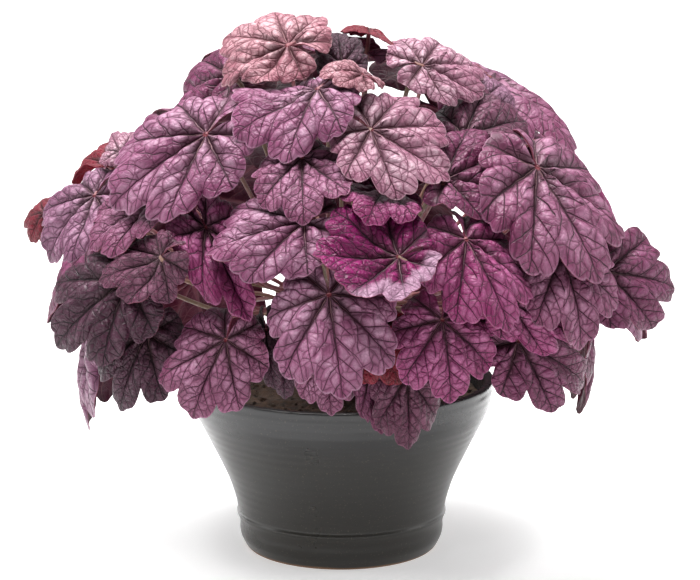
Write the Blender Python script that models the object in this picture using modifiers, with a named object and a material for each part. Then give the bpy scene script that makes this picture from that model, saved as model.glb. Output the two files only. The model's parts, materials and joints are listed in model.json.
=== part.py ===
"""A heuchera in a glazed pot: a mound of lobed leaves on long stalks that rise from one crown in the soil.

Metres, +Z up, origin at the centre of the pot's foot, front towards -Y.
"""

import math
import zlib
from typing import NamedTuple

import bmesh
import bpy
import numpy as np
from mathutils import Quaternion, Vector
from mathutils.bvhtree import BVHTree

# The photograph's frame: a leaf is set by the pixel where its stalk meets the blade
PHOTO_SCALE = 0.00063
FOOT_PIXEL = (341.4, 541.0)
CENTRE_PIXEL = (350.0, 290.0)
VIEW_TILT = math.radians(12.0)
VIEW_DISTANCE = 1.75

# The pot, turned: (radius, height) down the outer side
POT_OUTER = (
    (0.0945, 0.1060), (0.0940, 0.0985), (0.0918, 0.0885), (0.0870, 0.0786), (0.0796, 0.0638),
    (0.0710, 0.0457), (0.0664, 0.0320), (0.0650, 0.0245), (0.0655, 0.0215), (0.0638, 0.0165),
    (0.0634, 0.0085), (0.0605, 0.0018), (0.0590, 0.0),
)
POT_WALL = 0.005
POT_FLOOR = 0.010
POT_SIDES = 32
SOIL_SIDES = 20
SOIL_TOP = 0.097
GAP = 0.0003

# The crown, and the mound of leaves about its heart
HEART = np.array([0.0, 0.0, 0.120])
CROWN_RADIUS = 0.026
BLADE_THICKNESS = 0.0009
STALK_RADIUS = 0.0013
CLEARANCE = 0.0024
STALK_BEND = 0.105

# The seven lobes of a blade: middle angle, half width in degrees, and length as a share of the tip lobe's
LOBES = (
    (-140.5, 31.5, 0.47), (-86.0, 23.0, 0.68), (-42.0, 21.0, 0.88), (0.0, 21.0, 1.0),
    (42.0, 21.0, 0.88), (86.0, 23.0, 0.68), (140.5, 31.5, 0.47),
)
SINUS = 172.0
TOOTH = 0.045
PUCKER = 0.048
BASAL_RISE = 0.14
KNOT_SPREAD = 0.17

# The map of directions about the heart that keeps each leaf clear of those below it
MAP_STEP = math.radians(0.5)
MAP_HALF = math.radians(145.0)


class Leaf(NamedTuple):
    """One leaf: where its stalk meets the blade, how the blade faces and points, and its form.

    joint is the photograph's pixel of the stalk's end and reach its distance from the heart in metres. face
    turns the blade from facing straight out of the mound, by azimuth (to the right) and elevation (up), in
    degrees. tip is the clock angle of the tip lobe in the photograph, size the tip lobe's length in metres,
    and wide the share of its full width. fold is a roof (+) or a valley (-) along the midrib in degrees, and
    sway bends the stalk's middle aside, in degrees of azimuth and elevation. A far leaf stands behind the
    heart, and a fine one has more points round its margin.
    """

    name: str
    joint: tuple
    reach: float
    face: tuple
    tip: float
    size: float
    wide: float = 1.0
    cut: float = 0.14
    cup: float = 0.35
    fold: float = 0.0
    droop: float = 0.10
    twist: float = 0.0
    ruffle: float = 0.042
    sway: tuple = (0.0, 0.0)
    far: bool = False
    fine: bool = False
    colour: str = "silver"


# The leaves that the photograph shows, each laid over those before it
FRONT = (
    Leaf("low_behind", (286, 346), 0.140, (0, 4), 186, 0.031, wide=0.75, sway=(2, -3), colour="dark"),
    Leaf("low_middle_left", (267, 330), 0.146, (0, 6), 178, 0.034, wide=0.64, sway=(2, 3), colour="dark"),
    Leaf("bottom_middle", (326, 352), 0.142, (0, 4), 176, 0.037, cut=0.11, wide=0.78, colour="pink"),
    Leaf("bottom_narrow", (368, 374), 0.134, (-20, 6), 170, 0.036, wide=0.5, fold=-20, colour="purple"),
    Leaf("bottom_right_hung", (406, 374), 0.146, (0, 4), 174, 0.045, cut=0.11, wide=0.72, colour="dusk"),
    Leaf("red_lobe", (370, 332), 0.150, (0, 10), 146, 0.034, colour="burgundy"),
    Leaf(
        "bottom_left_dark", (147, 334), 0.176, (22, 16), 208, 0.047, cut=0.25, cup=0.4, wide=0.9,
        colour="dark",
    ),
    Leaf(
        "low_left_pink", (226, 340), 0.168, (10, 10), 208, 0.049, wide=0.82, fold=10, ruffle=0.06,
        sway=(-4, 0), colour="pink",
    ),
    Leaf("low_right", (518, 341), 0.176, (-16, 10), 114, 0.057, cut=0.24, wide=0.85, colour="purple"),
    Leaf(
        "low_right_magenta", (442, 320), 0.176, (-6, 10), 168, 0.047, cut=0.19, cup=0.5, fine=True,
        colour="magenta",
    ),
    Leaf(
        "left_dark", (128, 280), 0.190, (26, 12), 238, 0.060, cut=0.21, cup=0.4, wide=0.9, fine=True,
        colour="dark",
    ),
    Leaf("far_right", (604, 272), 0.200, (-34, 8), 94, 0.056, cut=0.18, wide=0.88, colour="purple"),
    Leaf(
        "low_right_upper", (503, 303), 0.186, (-12, 14), 108, 0.052, wide=0.55, fold=22, sway=(3, 5),
        colour="magenta",
    ),
    Leaf(
        "right_middle", (560, 252), 0.200, (-22, 12), 156, 0.056, cut=0.18, cup=0.4, wide=0.88, fine=True,
        colour="pink",
    ),
    Leaf("low_middle", (329, 295), 0.190, (0, 14), 172, 0.059, fold=10, cup=0.3, wide=0.94, fine=True),
    Leaf(
        "left_folded", (206, 228), 0.180, (16, 10), 154, 0.062, wide=0.6, fold=-30, ruffle=0.06,
        colour="magenta",
    ),
    Leaf("left_small", (174, 264), 0.184, (20, 24), 266, 0.041, wide=0.8, fold=14, colour="dusk"),
    Leaf("far_left_dark_red", (45, 213), 0.206, (34, 4), 264, 0.025, fold=16, colour="burgundy"),
    Leaf(
        "far_left_silver", (95, 196), 0.198, (30, 12), 234, 0.048, cup=0.5, ruffle=0.06, fine=True,
        colour="lilac",
    ),
    Leaf(
        "left_green_edge", (150, 206), 0.190, (22, 16), 246, 0.043, wide=0.85, ruffle=0.06,
        colour="pink",
    ),
    Leaf(
        "right_twisted", (466, 240), 0.198, (-10, 14), 146, 0.057, cut=0.18, wide=0.8, fold=20, ruffle=0.06,
        fine=True, colour="magenta",
    ),
    Leaf("left_middle", (304, 223), 0.192, (4, 14), 262, 0.058, cut=0.11, cup=0.3, wide=0.82, fine=True),
    Leaf(
        "middle_bowl", (398, 258), 0.192, (-8, 26), 264, 0.050, cup=-0.55, ruffle=0.05, fine=True,
        colour="magenta",
    ),
    Leaf("inner_magenta", (384, 190), 0.178, (0, 12), 206, 0.036, sway=(0, -5), colour="magenta"),
    Leaf("upper_right_lilac", (482, 100), 0.200, (-20, -14), 48, 0.034, wide=0.85, colour="purple"),
    Leaf("upper_right_dark", (464, 138), 0.194, (-18, 2), 68, 0.049, wide=0.9, colour="dark"),
    Leaf("inner_right", (444, 181), 0.194, (-14, 18), 66, 0.052, wide=0.9, colour="purple"),
    Leaf(
        "middle_pink", (302, 159), 0.196, (2, 12), 180, 0.043, cup=0.4, sway=(0, -4), fine=True,
        colour="pink",
    ),
    Leaf("far_left_burgundy", (106, 164), 0.192, (34, -2), 292, 0.030, colour="burgundy"),
    Leaf(
        "far_left_curl", (124, 156), 0.196, (30, -10), 326, 0.029, fold=20, wide=0.7, sway=(4, 4),
        colour="pale",
    ),
    Leaf(
        "right_large", (533, 172), 0.206, (-24, 12), 136, 0.074, cut=0.16, fold=12, cup=0.4, fine=True,
        colour="pink",
    ),
    Leaf("upper_left", (206, 135), 0.206, (20, -4), 242, 0.068, cut=0.13, cup=0.30, wide=0.84, fine=True),
    Leaf("back_left_purple", (230, 76), 0.194, (16, -22), 306, 0.060, wide=0.85, colour="purple"),
    Leaf(
        "upper_right_pale", (371, 130), 0.206, (0, -6), 116, 0.052, cup=0.22, sway=(2, 0), fine=True,
        colour="pale",
    ),
    Leaf("top_red", (368, 45), 0.200, (0, -14), 6, 0.026, far=True, colour="burgundy"),
    Leaf("top_dark", (342, 66), 0.204, (0, -34), 354, 0.029, wide=0.8, sway=(0, 12), colour="dark"),
    Leaf(
        "top_right_pale", (422, 66), 0.214, (0, -12), 82, 0.048, cup=0.3, wide=0.9, fine=True,
        colour="pale",
    ),
    Leaf(
        "top_middle", (318, 94), 0.210, (0, 0), 250, 0.054, fold=20, cup=0.5, sway=(-3, -3), fine=True,
        colour="silver",
    ),
    Leaf(
        "young_curl", (362, 82), 0.214, (0, 0), 300, 0.029, fold=28, cup=0.6, sway=(3, 10),
        colour="salmon",
    ),
    Leaf(
        "top_left", (288, 46), 0.220, (0, -24), 288, 0.054, fold=16, sway=(0, 6), fine=True,
        colour="salmon",
    ),
)

# The rows of leaves that close the mound behind, from the rim upwards: count, elevation, first and last
# azimuth, reach and size
BACK_ROWS = (
    (5, 8.0, 108.0, 260.0, 0.158, 0.068),
    (5, 27.0, 78.0, 262.0, 0.176, 0.082),
    (4, 44.0, 112.0, 246.0, 0.188, 0.085),
    (3, 62.0, 88.0, 208.0, 0.197, 0.078),
)
BACK_COLOURS = ("purple", "silver", "magenta", "pink", "lilac")
BACK_SEED = 11
BACK_WIDE = 1.15


def unit(vector):
    """The vector, or each row of an array of them, at length 1."""
    vector = np.asarray(vector, float)
    return vector / np.linalg.norm(vector, axis=-1, keepdims=True)


def heading(azimuth, elevation):
    """The direction at an azimuth (0 to the front, 90 to the right) and an elevation, in degrees."""
    a, e = math.radians(azimuth), math.radians(elevation)
    return np.array([math.sin(a) * math.cos(e), -math.cos(a) * math.cos(e), math.sin(e)])


def bearing(vector):
    """The azimuth and elevation of a vector, in degrees."""
    azimuth = math.degrees(math.atan2(vector[0], -vector[1]))
    return azimuth, math.degrees(math.asin(vector[2] / np.linalg.norm(vector)))


RIGHT = np.array([1.0, 0.0, 0.0])
TOWARDS = heading(0.0, math.degrees(VIEW_TILT))
UP = np.cross(RIGHT, -TOWARDS)


def in_picture_plane(pixel):
    """The point that the photograph shows at pixel on the plane that faces the camera at the pot's foot."""
    across, down = pixel[0] - FOOT_PIXEL[0], pixel[1] - FOOT_PIXEL[1]
    return (RIGHT * across - UP * down) * PHOTO_SCALE


EYE = in_picture_plane(CENTRE_PIXEL) + TOWARDS * VIEW_DISTANCE


def on_line_of_sight(pixel, reach, far):
    """The point of the sphere of radius reach about the heart that the photograph shows at pixel."""
    ray = unit(in_picture_plane(pixel) - EYE)
    middle = EYE + ray * ((HEART - EYE) @ ray)
    half = math.sqrt(max(0.0, reach**2 - np.sum((middle - HEART) ** 2)))
    return middle + ray * (half if far else -half)


def lobe_place(theta):
    """For angles in degrees: the place across their lobe, from -1 to 1, and the lobes' length there."""
    middles, halves, lengths = (np.array(column) for column in zip(*LOBES))
    nearest = np.abs(theta[:, None] - middles) / halves
    index = nearest.argmin(axis=1)
    return (theta - middles[index]) / halves[index], np.interp(theta, middles, lengths)


def outline(theta, cut):
    """The margin's distance from the joint: rounded lobes with notches between, each with three teeth."""
    across, length = lobe_place(theta)
    tooth = 2.0 * ((1.5 * across + 0.5) % 1.0) - 1.0
    return length * (1.0 - cut * np.abs(across) ** 3.0) * (1.0 - TOOTH * np.abs(tooth) ** 2.2)


class Blade:
    """A leaf's blade as a smooth surface of rho, from the joint to the margin, and theta, round it."""

    def __init__(self, leaf, joint, normal, tip):
        self.leaf, self.joint = leaf, joint
        self.normal = unit(normal)
        self.tip = unit(tip - self.normal * (tip @ self.normal))
        self.side = np.cross(self.normal, self.tip)
        rng = np.random.default_rng(zlib.crc32(leaf.name.encode()))
        self.phases = rng.uniform(0.0, 2.0 * math.pi, 3)
        stations = sorted({middle + half * step for middle, half, _ in LOBES for step in (-1.0, 0.0, 1.0)})
        rho, theta = np.meshgrid((0.35, 0.7, 1.0), stations, indexing="ij")
        rho, theta = np.append(rho.ravel(), 0.0), np.append(theta.ravel(), 0.0)
        self.knots = self.flat(rho, theta)[:, :2]
        self.lifts = np.zeros(len(self.knots))

    def flat(self, rho, theta):
        """The blade's own x to the tip, y to the side and height, as shares of its size, with no lift."""
        leaf = self.leaf
        turn = np.radians(theta)
        reach = rho * outline(theta, leaf.cut)
        across, _ = lobe_place(theta)
        bend = leaf.cup if abs(leaf.cup) > 1e-3 else 1e-3
        arc = np.sin(bend * reach) / bend
        height = -(1.0 - np.cos(bend * reach)) / bend
        x, y = arc * np.cos(turn), arc * np.sin(turn) * leaf.wide
        height = height - leaf.droop * np.maximum(x, 0.0) ** 2 + BASAL_RISE * np.maximum(-x, 0.0) ** 1.5
        height = height + leaf.twist * x * y
        height = height + PUCKER * np.sin(math.pi * rho) * 0.5 * (1.0 - np.cos(math.pi * across))
        waves = np.cos(math.pi * across) * -0.6 + np.sin(3.0 * turn + self.phases[0])
        waves = waves + 0.6 * np.sin(5.0 * turn + self.phases[1])
        height = height + leaf.ruffle * rho**3 * waves
        lean = math.radians(leaf.fold)
        ridge = np.sqrt(y**2 + 0.03**2) - 0.03
        return np.stack([x, y * math.cos(lean), height - ridge * math.sin(lean)], axis=1)

    def weights(self, plan):
        """How much each knot's lift counts at each point of the blade's plan."""
        near = np.exp(-np.sum((plan[:, None] - self.knots) ** 2, axis=2) / (2.0 * KNOT_SPREAD**2)) + 1e-12
        return near / near.sum(axis=1, keepdims=True)

    def points(self, rho, theta):
        """The blade's middle surface in metres."""
        local = self.flat(rho, theta)
        spots = self.joint + self.leaf.size * (
            local[:, :1] * self.tip + local[:, 1:2] * self.side + local[:, 2:] * self.normal
        )
        lift = self.weights(local[:, :2]) @ self.lifts
        return spots + unit(spots - HEART) * lift[:, None]


class Canopy:
    """How far from the heart the leaves and the pot already reach, in each direction."""

    def __init__(self):
        self.side = int(2 * MAP_HALF / MAP_STEP) + 1
        self.reach = np.zeros((self.side, self.side))

    def cells(self, points):
        """The map's row and column of each point, and its distance from the heart."""
        away = points - HEART
        reach = np.linalg.norm(away, axis=1)
        fall = np.arccos(np.clip(away[:, 2] / reach, -1.0, 1.0))
        flat = np.hypot(away[:, 0], away[:, 1]) + 1e-12
        place = (away[:, :2] / flat[:, None] * fall[:, None] + MAP_HALF) / MAP_STEP
        place = np.clip(np.round(place).astype(int), 1, self.side - 2)
        return place[:, 0], place[:, 1], reach

    def stamp(self, points):
        """Adds a surface to the map."""
        row, column, reach = self.cells(points)
        np.maximum.at(self.reach, (row, column), reach)

    def shortfall(self, points):
        """How much further out each point has to be to clear what is below it."""
        row, column, reach = self.cells(points)
        near = [self.reach[row + i, column + j] for i in (-1, 0, 1) for j in (-1, 0, 1)]
        return np.max(near, axis=0) + CLEARANCE - reach


def lay(blade, canopy):
    """Rests a blade on the leaves below: its knots rise until no point is short, and it joins the map."""
    rho, theta = np.meshgrid(np.linspace(0.02, 1.0, 34), np.linspace(-SINUS, SINUS, 130), indexing="ij")
    rho, theta = rho.ravel(), theta.ravel()
    weights = blade.weights(blade.flat(rho, theta)[:, :2])
    share = weights / weights.max(axis=1, keepdims=True)
    for _ in range(12):
        short = np.maximum(canopy.shortfall(blade.points(rho, theta)), 0.0)
        if short.max() < 1e-4:
            break
        blade.lifts += (short[:, None] * share**2).max(axis=0)
    canopy.stamp(blade.points(rho, theta))


def blade_mesh(blade):
    """The blade's open middle surface: rings of 8, 15 and the margin's own points about the joint."""
    steps = (-1.0, -2 / 3, -1 / 3, 0.0, 1 / 3, 2 / 3) if blade.leaf.fine else (-1.0, -0.5, 0.0, 0.5)
    margin = [middle + half * step for middle, half, _ in LOBES for step in steps] + [SINUS]
    middle_ring = [middle + half * step for middle, half, _ in LOBES for step in (-1.0, 0.0)] + [SINUS]
    inner_ring = [LOBES[0][0] - LOBES[0][1]] + [middle for middle, _, _ in LOBES[1:-1]] + [SINUS]
    rings = [(0.0, [0.0]), (0.33, inner_ring), (0.68, middle_ring), (1.0, margin)]
    mesh = bmesh.new()
    rows = []
    for rho, angles in rings:
        spots = blade.points(np.full(len(angles), rho), np.array(angles))
        rows.append([(angle, mesh.verts.new(spot)) for angle, spot in zip(angles, spots)])
    for inner, outer in zip(rows, rows[1:]):
        stitch(mesh, inner, outer)
    return mesh


def stitch(mesh, inner, outer):
    """Fills the band between two rings of (angle, vertex) with triangles, across the shorter step."""
    i = j = 0
    while i < len(inner) - 1 or j < len(outer) - 1:
        step_out = j < len(outer) - 1 and (
            i == len(inner) - 1 or outer[j + 1][0] - inner[i][0] <= inner[i + 1][0] - outer[j][0] + 1e-9
        )
        if step_out:
            mesh.faces.new((inner[i][1], outer[j][1], outer[j + 1][1]))
            j += 1
        else:
            mesh.faces.new((inner[i][1], outer[j][1], inner[i + 1][1]))
            i += 1


def crown_reach(crown, out):
    """How far the crown stands out from the heart along a stalk's whole section."""
    aside = out.orthogonal().normalized() * STALK_RADIUS
    edge = [Quaternion(out, math.radians(45.0 * step)) @ aside for step in range(8)]
    hits = [crown.ray_cast(out * 0.1 + offset, -out)[0] for offset in (*edge, Vector())]
    return max(hit.dot(out) for hit in hits if hit)


def stalk_points(blade, crown):
    """A stalk's line: out of the crown in an arch, to an elbow by the sinus, and up to the joint."""
    size = blade.leaf.size
    top = blade.points(np.zeros(1), np.zeros(1))[0] - blade.normal * BLADE_THICKNESS * 0.3
    elbow = top - blade.tip * 0.10 * size - blade.normal * 0.16 * size
    azimuth, elevation = bearing(elbow - HEART)
    azimuth, elevation = azimuth + blade.leaf.sway[0], elevation + blade.leaf.sway[1]
    start_elevation = float(np.interp(elevation, (-30.0, 50.0, 90.0), (16.0, 65.0, 77.0)))
    out = Vector(heading(azimuth, start_elevation))
    start = crown_reach(crown, out) + GAP
    line = [HEART + np.array(out) * start]
    for share in (0.45, 1.0):
        rise = start_elevation + (elevation - start_elevation) * (3 * share**2 - 2 * share**3)
        line.append(HEART + heading(azimuth, rise) * (start + (STALK_BEND - start) * share))
    return [*line, elbow, top]


def new_material(name, colour, roughness):
    """A plain finish."""
    material = bpy.data.materials.new(name)
    material.use_nodes = True
    shader = material.node_tree.nodes["Principled BSDF"]
    shader.inputs["Base Color"].default_value = (*colour, 1.0)
    shader.inputs["Roughness"].default_value = roughness
    shader.inputs["Metallic"].default_value = 0.0
    return material


def new_object(name, data, collection, material):
    """An object of a mesh or curve, in its collection and finish."""
    obj = bpy.data.objects.new(name, data)
    collection.objects.link(obj)
    data.materials.append(material)
    return obj


def add_modifier(obj, kind, **settings):
    """A modifier with its settings."""
    modifier = obj.modifiers.new(kind.title(), kind)
    for key, value in settings.items():
        setattr(modifier, key, value)


def baked(obj):
    """The object's mesh with its modifiers applied, and with the doubles of a curve's caps merged."""
    graph = bpy.context.evaluated_depsgraph_get()
    made = bpy.data.meshes.new_from_object(obj.evaluated_get(graph))
    mesh = bmesh.new()
    mesh.from_mesh(made)
    bmesh.ops.remove_doubles(mesh, verts=mesh.verts, dist=1e-6)
    bmesh.ops.recalc_face_normals(mesh, faces=mesh.faces)
    mesh.to_mesh(made)
    mesh.free()
    return made


def add_stalk(name, line, collection, material):
    """A stalk as a bevelled curve through its line, made a mesh."""
    curve = bpy.data.curves.new(name, "CURVE")
    curve.dimensions = "3D"
    curve.bevel_depth = STALK_RADIUS
    curve.bevel_resolution = 0
    curve.use_fill_caps = True
    spline = curve.splines.new("POLY")
    spline.points.add(len(line) - 1)
    for point, spot in zip(spline.points, line):
        point.co = (*spot, 1.0)
    tube = new_object(name + "_line", curve, collection, material)
    stalk = new_object(name, baked(tube), collection, material)
    bpy.data.objects.remove(tube)
    return stalk


def add_leaf(blade, crown, collection, material):
    """One leaf: its blade given a thickness, and its stalk joined to it."""
    name = "leaf_" + blade.leaf.name
    surface = blade_mesh(blade)
    mesh = bpy.data.meshes.new(name)
    surface.to_mesh(mesh)
    surface.free()
    leaf = new_object(name, mesh, collection, material)
    add_modifier(leaf, "SOLIDIFY", thickness=BLADE_THICKNESS, offset=0.0)
    leaf.data = baked(leaf)
    leaf.modifiers.clear()
    pieces = bpy.data.collections.new(name + "_stalk")
    collection.children.link(pieces)
    stalk = add_stalk(name + "_stalk", stalk_points(blade, crown), pieces, material)
    bpy.context.view_layer.update()
    add_modifier(
        leaf, "BOOLEAN", operation="UNION", solver="MANIFOLD", operand_type="COLLECTION", collection=pieces,
    )
    leaf.data = baked(leaf)
    leaf.modifiers.clear()
    bpy.data.objects.remove(stalk)
    bpy.data.collections.remove(pieces)


def add_turned(name, profile, sides, collection, material):
    """A solid turned from a (radius, height) profile that runs down its outer side and ends on the axis."""
    mesh = bpy.data.meshes.new(name)
    points = [(radius, 0.0, height) for radius, height in profile]
    mesh.from_pydata(points, [(i, i + 1) for i in range(len(points) - 1)], [])
    obj = new_object(name, mesh, collection, material)
    add_modifier(
        obj, "SCREW", steps=sides, render_steps=sides, use_merge_vertices=True, merge_threshold=0.00005,
        use_smooth_shade=True,
    )
    return obj


def pot_profile():
    """Over the pot's floor, up the inner wall, over the rim, down the outer side and in under the foot."""
    inner = [(radius - POT_WALL, height) for radius, height in POT_OUTER[:8:2]]
    inner = [(radius, height) for radius, height in inner if height > POT_FLOOR]
    lip = [(POT_OUTER[0][0] - POT_WALL * 0.5, POT_OUTER[0][1] + 0.0012)]
    base = [(inner[-1][0] - 0.003, POT_FLOOR), (0.0, POT_FLOOR)]
    return base[::-1] + inner[::-1] + lip + list(POT_OUTER) + [(0.0, 0.0)]


def inner_radius(height):
    """The pot's inner radius at a height."""
    radii, heights = zip(*POT_OUTER[::-1])
    return float(np.interp(height, heights, radii)) - POT_WALL


def soil_profile():
    """The soil: its top with a seat for the crown, then down inside the pot's wall to the pot's floor."""
    seat = CROWN_RADIUS + GAP * 1.5
    dip = [seat * share for share in (0.0, 0.22, 0.44, 0.64)]
    top = [(radius, HEART[2] - math.sqrt(seat**2 - radius**2)) for radius in dip]
    top = [(radius, height) for radius, height in top if height < SOIL_TOP]
    rim = [(0.030, SOIL_TOP - 0.001), (0.055, SOIL_TOP), (0.078, SOIL_TOP - 0.002)]
    wall = [(inner_radius(height) - GAP * 3, height) for height in (0.0945, 0.0820, 0.0638, 0.0457, 0.0320)]
    foot = (inner_radius(0.0245) - 0.003 - GAP * 4, POT_FLOOR + GAP)
    return top + rim + wall + [foot, (0.0, POT_FLOOR + GAP)]


def add_crown(collection, material):
    """The woody crown: a ball with low ridges of old stalks. Returns its surface about the heart."""
    mesh = bmesh.new()
    bmesh.ops.create_uvsphere(mesh, u_segments=14, v_segments=8, radius=CROWN_RADIUS)
    for vert in mesh.verts:
        around = math.atan2(vert.co.y, vert.co.x)
        dent = 0.0006 * (1.0 + math.sin(5.0 * around + 180.0 * vert.co.z))
        vert.co *= 1.0 - dent / CROWN_RADIUS
    data = bpy.data.meshes.new("crown")
    mesh.to_mesh(data)
    surface = BVHTree.FromBMesh(mesh)
    mesh.free()
    new_object("crown", data, collection, material).location = Vector(HEART)
    return surface


def front_blades():
    """The blades that the photograph shows."""
    for leaf in FRONT:
        joint = on_line_of_sight(leaf.joint, leaf.reach, leaf.far)
        azimuth, elevation = bearing(joint - HEART)
        normal = heading(azimuth + leaf.face[0], elevation + leaf.face[1])
        clock = math.radians(leaf.tip)
        drawn = RIGHT * math.sin(clock) + UP * math.cos(clock)
        sight = unit(EYE - joint)
        yield Blade(leaf, joint, normal, drawn - sight * (drawn @ normal) / (sight @ normal))


def back_blades():
    """The blades behind, in rows that each stand over the gaps of the row below, tips down the mound."""
    rng = np.random.default_rng(BACK_SEED)
    for row, (count, elevation, first, last, reach, size) in enumerate(BACK_ROWS):
        for place, azimuth in enumerate(np.linspace(first, last, count)):
            azimuth = azimuth + rng.uniform(-5.0, 5.0)
            lift = elevation + rng.uniform(-3.0, 3.0)
            out = heading(azimuth, lift)
            leaf = Leaf(
                f"back_{row + 1}_{place + 1}", (0, 0), reach, (azimuth, lift + 10.0), 180.0,
                size * rng.uniform(0.9, 1.08), wide=BACK_WIDE, cut=rng.uniform(0.12, 0.20),
                cup=rng.uniform(0.25, 0.45), fold=rng.uniform(-8.0, 16.0),
                colour=BACK_COLOURS[(row + place) % len(BACK_COLOURS)],
            )
            aside = np.cross(out, (0.0, 0.0, 1.0)) * math.sin(math.radians(rng.uniform(-35.0, 35.0)))
            yield Blade(leaf, HEART + out * reach, heading(*leaf.face), aside - np.array([0.0, 0.0, 1.0]))


def pot_surface():
    """Points of the pot's outer side, for the map."""
    radii, heights = (np.array(column) for column in zip(*POT_OUTER))
    height = np.repeat(np.linspace(0.02, heights[0] + 0.002, 60), 720)
    around = np.tile(np.linspace(0.0, 2.0 * math.pi, 720), 60)
    radius = np.interp(height, heights[::-1], radii[::-1]) + 0.001
    return np.stack([radius * np.cos(around), radius * np.sin(around), height], axis=1)


LEAF_COLOURS = {
    "silver": (0.36, 0.13, 0.25), "salmon": (0.50, 0.22, 0.26), "purple": (0.24, 0.06, 0.17),
    "magenta": (0.34, 0.05, 0.22), "pale": (0.50, 0.26, 0.36), "pink": (0.40, 0.11, 0.24),
    "lilac": (0.36, 0.18, 0.30), "dusk": (0.26, 0.08, 0.16), "dark": (0.10, 0.02, 0.07),
    "burgundy": (0.16, 0.01, 0.03),
}


def main():
    """Clears the scene and builds the pot, the soil, the crown and the leaves."""
    for obj in list(bpy.data.objects):
        bpy.data.objects.remove(obj)
    parts = bpy.data.collections.new("heuchera_plant")
    bpy.context.scene.collection.children.link(parts)
    glaze = new_material("glaze", (0.035, 0.034, 0.031), 0.25)
    add_turned("pot", pot_profile(), POT_SIDES, parts, glaze)
    add_turned("soil", soil_profile(), SOIL_SIDES, parts, new_material("soil", (0.03, 0.02, 0.014), 0.95))
    crown = add_crown(parts, new_material("crown", (0.09, 0.05, 0.03), 0.8))
    finishes = {name: new_material("leaf_" + name, colour, 0.5) for name, colour in LEAF_COLOURS.items()}
    canopy = Canopy()
    canopy.stamp(pot_surface())
    for blade in [*back_blades(), *front_blades()]:
        lay(blade, canopy)
        add_leaf(blade, crown, parts, finishes[blade.leaf.colour])


main()
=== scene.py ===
"""A heuchera in a dark glazed pot, dressed for a plain studio photograph.

The plant is a mound of leaves on stalks from one crown. Each leaf is a surface of rho, from the joint of
stalk and blade to the margin, and theta, round the joint. The leaves are laid over each other from the rim
upwards, as in the part's own solids, whose sizes and places this script repeats.
"""

import json
import logging
import math
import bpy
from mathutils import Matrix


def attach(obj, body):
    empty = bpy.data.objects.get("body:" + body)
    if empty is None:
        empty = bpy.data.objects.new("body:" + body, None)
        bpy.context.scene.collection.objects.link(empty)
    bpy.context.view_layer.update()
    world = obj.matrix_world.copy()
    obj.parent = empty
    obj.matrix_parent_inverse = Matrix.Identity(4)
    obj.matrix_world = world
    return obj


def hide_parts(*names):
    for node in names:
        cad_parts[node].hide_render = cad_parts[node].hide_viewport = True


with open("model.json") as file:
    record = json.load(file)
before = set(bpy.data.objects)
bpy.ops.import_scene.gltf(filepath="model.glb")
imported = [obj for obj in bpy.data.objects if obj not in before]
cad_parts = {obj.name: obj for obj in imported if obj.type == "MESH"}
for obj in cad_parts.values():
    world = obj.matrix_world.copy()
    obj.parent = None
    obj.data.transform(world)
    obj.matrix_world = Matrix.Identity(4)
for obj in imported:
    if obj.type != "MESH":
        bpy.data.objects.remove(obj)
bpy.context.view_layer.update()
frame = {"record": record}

import zlib
from collections.abc import Sequence
from dataclasses import dataclass, field
from enum import Enum

import bpy
import numpy as np
from mathutils import Matrix, Vector

LOG = logging.getLogger("heuchera")

BODY = "root"
HEART = np.array([0.0, 0.0, 0.120])
CROWN_RADIUS = 0.026


def unit(vector: np.ndarray) -> np.ndarray:
    """Scales vectors to length 1.

    Args:
        vector: One vector, or an array whose last axis holds vectors.

    Returns:
        The same shape, each vector at length 1.
    """
    vector = np.asarray(vector, float)
    return vector / np.maximum(np.linalg.norm(vector, axis=-1, keepdims=True), 1e-12)


def heading(azimuth: float, elevation: float) -> np.ndarray:
    """The unit direction at an azimuth and an elevation.

    Args:
        azimuth: Degrees from the front (-Y) towards the right (+X).
        elevation: Degrees above the horizon.

    Returns:
        The direction.
    """
    a, e = math.radians(azimuth), math.radians(elevation)
    return np.array([math.sin(a) * math.cos(e), -math.cos(a) * math.cos(e), math.sin(e)])


def bearing(vector: np.ndarray) -> tuple[float, float]:
    """The azimuth and elevation of a vector, in degrees."""
    azimuth = math.degrees(math.atan2(vector[0], -vector[1]))
    return azimuth, math.degrees(math.asin(vector[2] / np.linalg.norm(vector)))


def smoothstep(low: float, high: float, value: np.ndarray) -> np.ndarray:
    """0 below low, 1 above high, and the cubic 3t^2 - 2t^3 between."""
    t = np.clip((value - low) / (high - low), 0.0, 1.0)
    return t * t * (3.0 - 2.0 * t)


def lumps(u: np.ndarray, v: np.ndarray, seed: int) -> np.ndarray:
    """Smooth random bumps from -1 to 1 about a unit apart.

    Formula: random values at the corners of a lattice, blended across each cell with the smoothstep cubic.

    Args:
        u: First coordinate of each point.
        v: Second coordinate of each point.
        seed: The lattice's seed.

    Returns:
        One value for each point.
    """
    lattice = np.random.default_rng(seed).uniform(-1.0, 1.0, (64, 64))
    iu, iv = np.floor(u).astype(int), np.floor(v).astype(int)
    fu, fv = smoothstep(0.0, 1.0, u - iu), smoothstep(0.0, 1.0, v - iv)
    near, far = lattice[iu % 64, iv % 64], lattice[(iu + 1) % 64, iv % 64]
    near_up, far_up = lattice[iu % 64, (iv + 1) % 64], lattice[(iu + 1) % 64, (iv + 1) % 64]
    return (near * (1 - fu) + far * fu) * (1 - fv) + (near_up * (1 - fu) + far_up * fu) * fv


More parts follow.
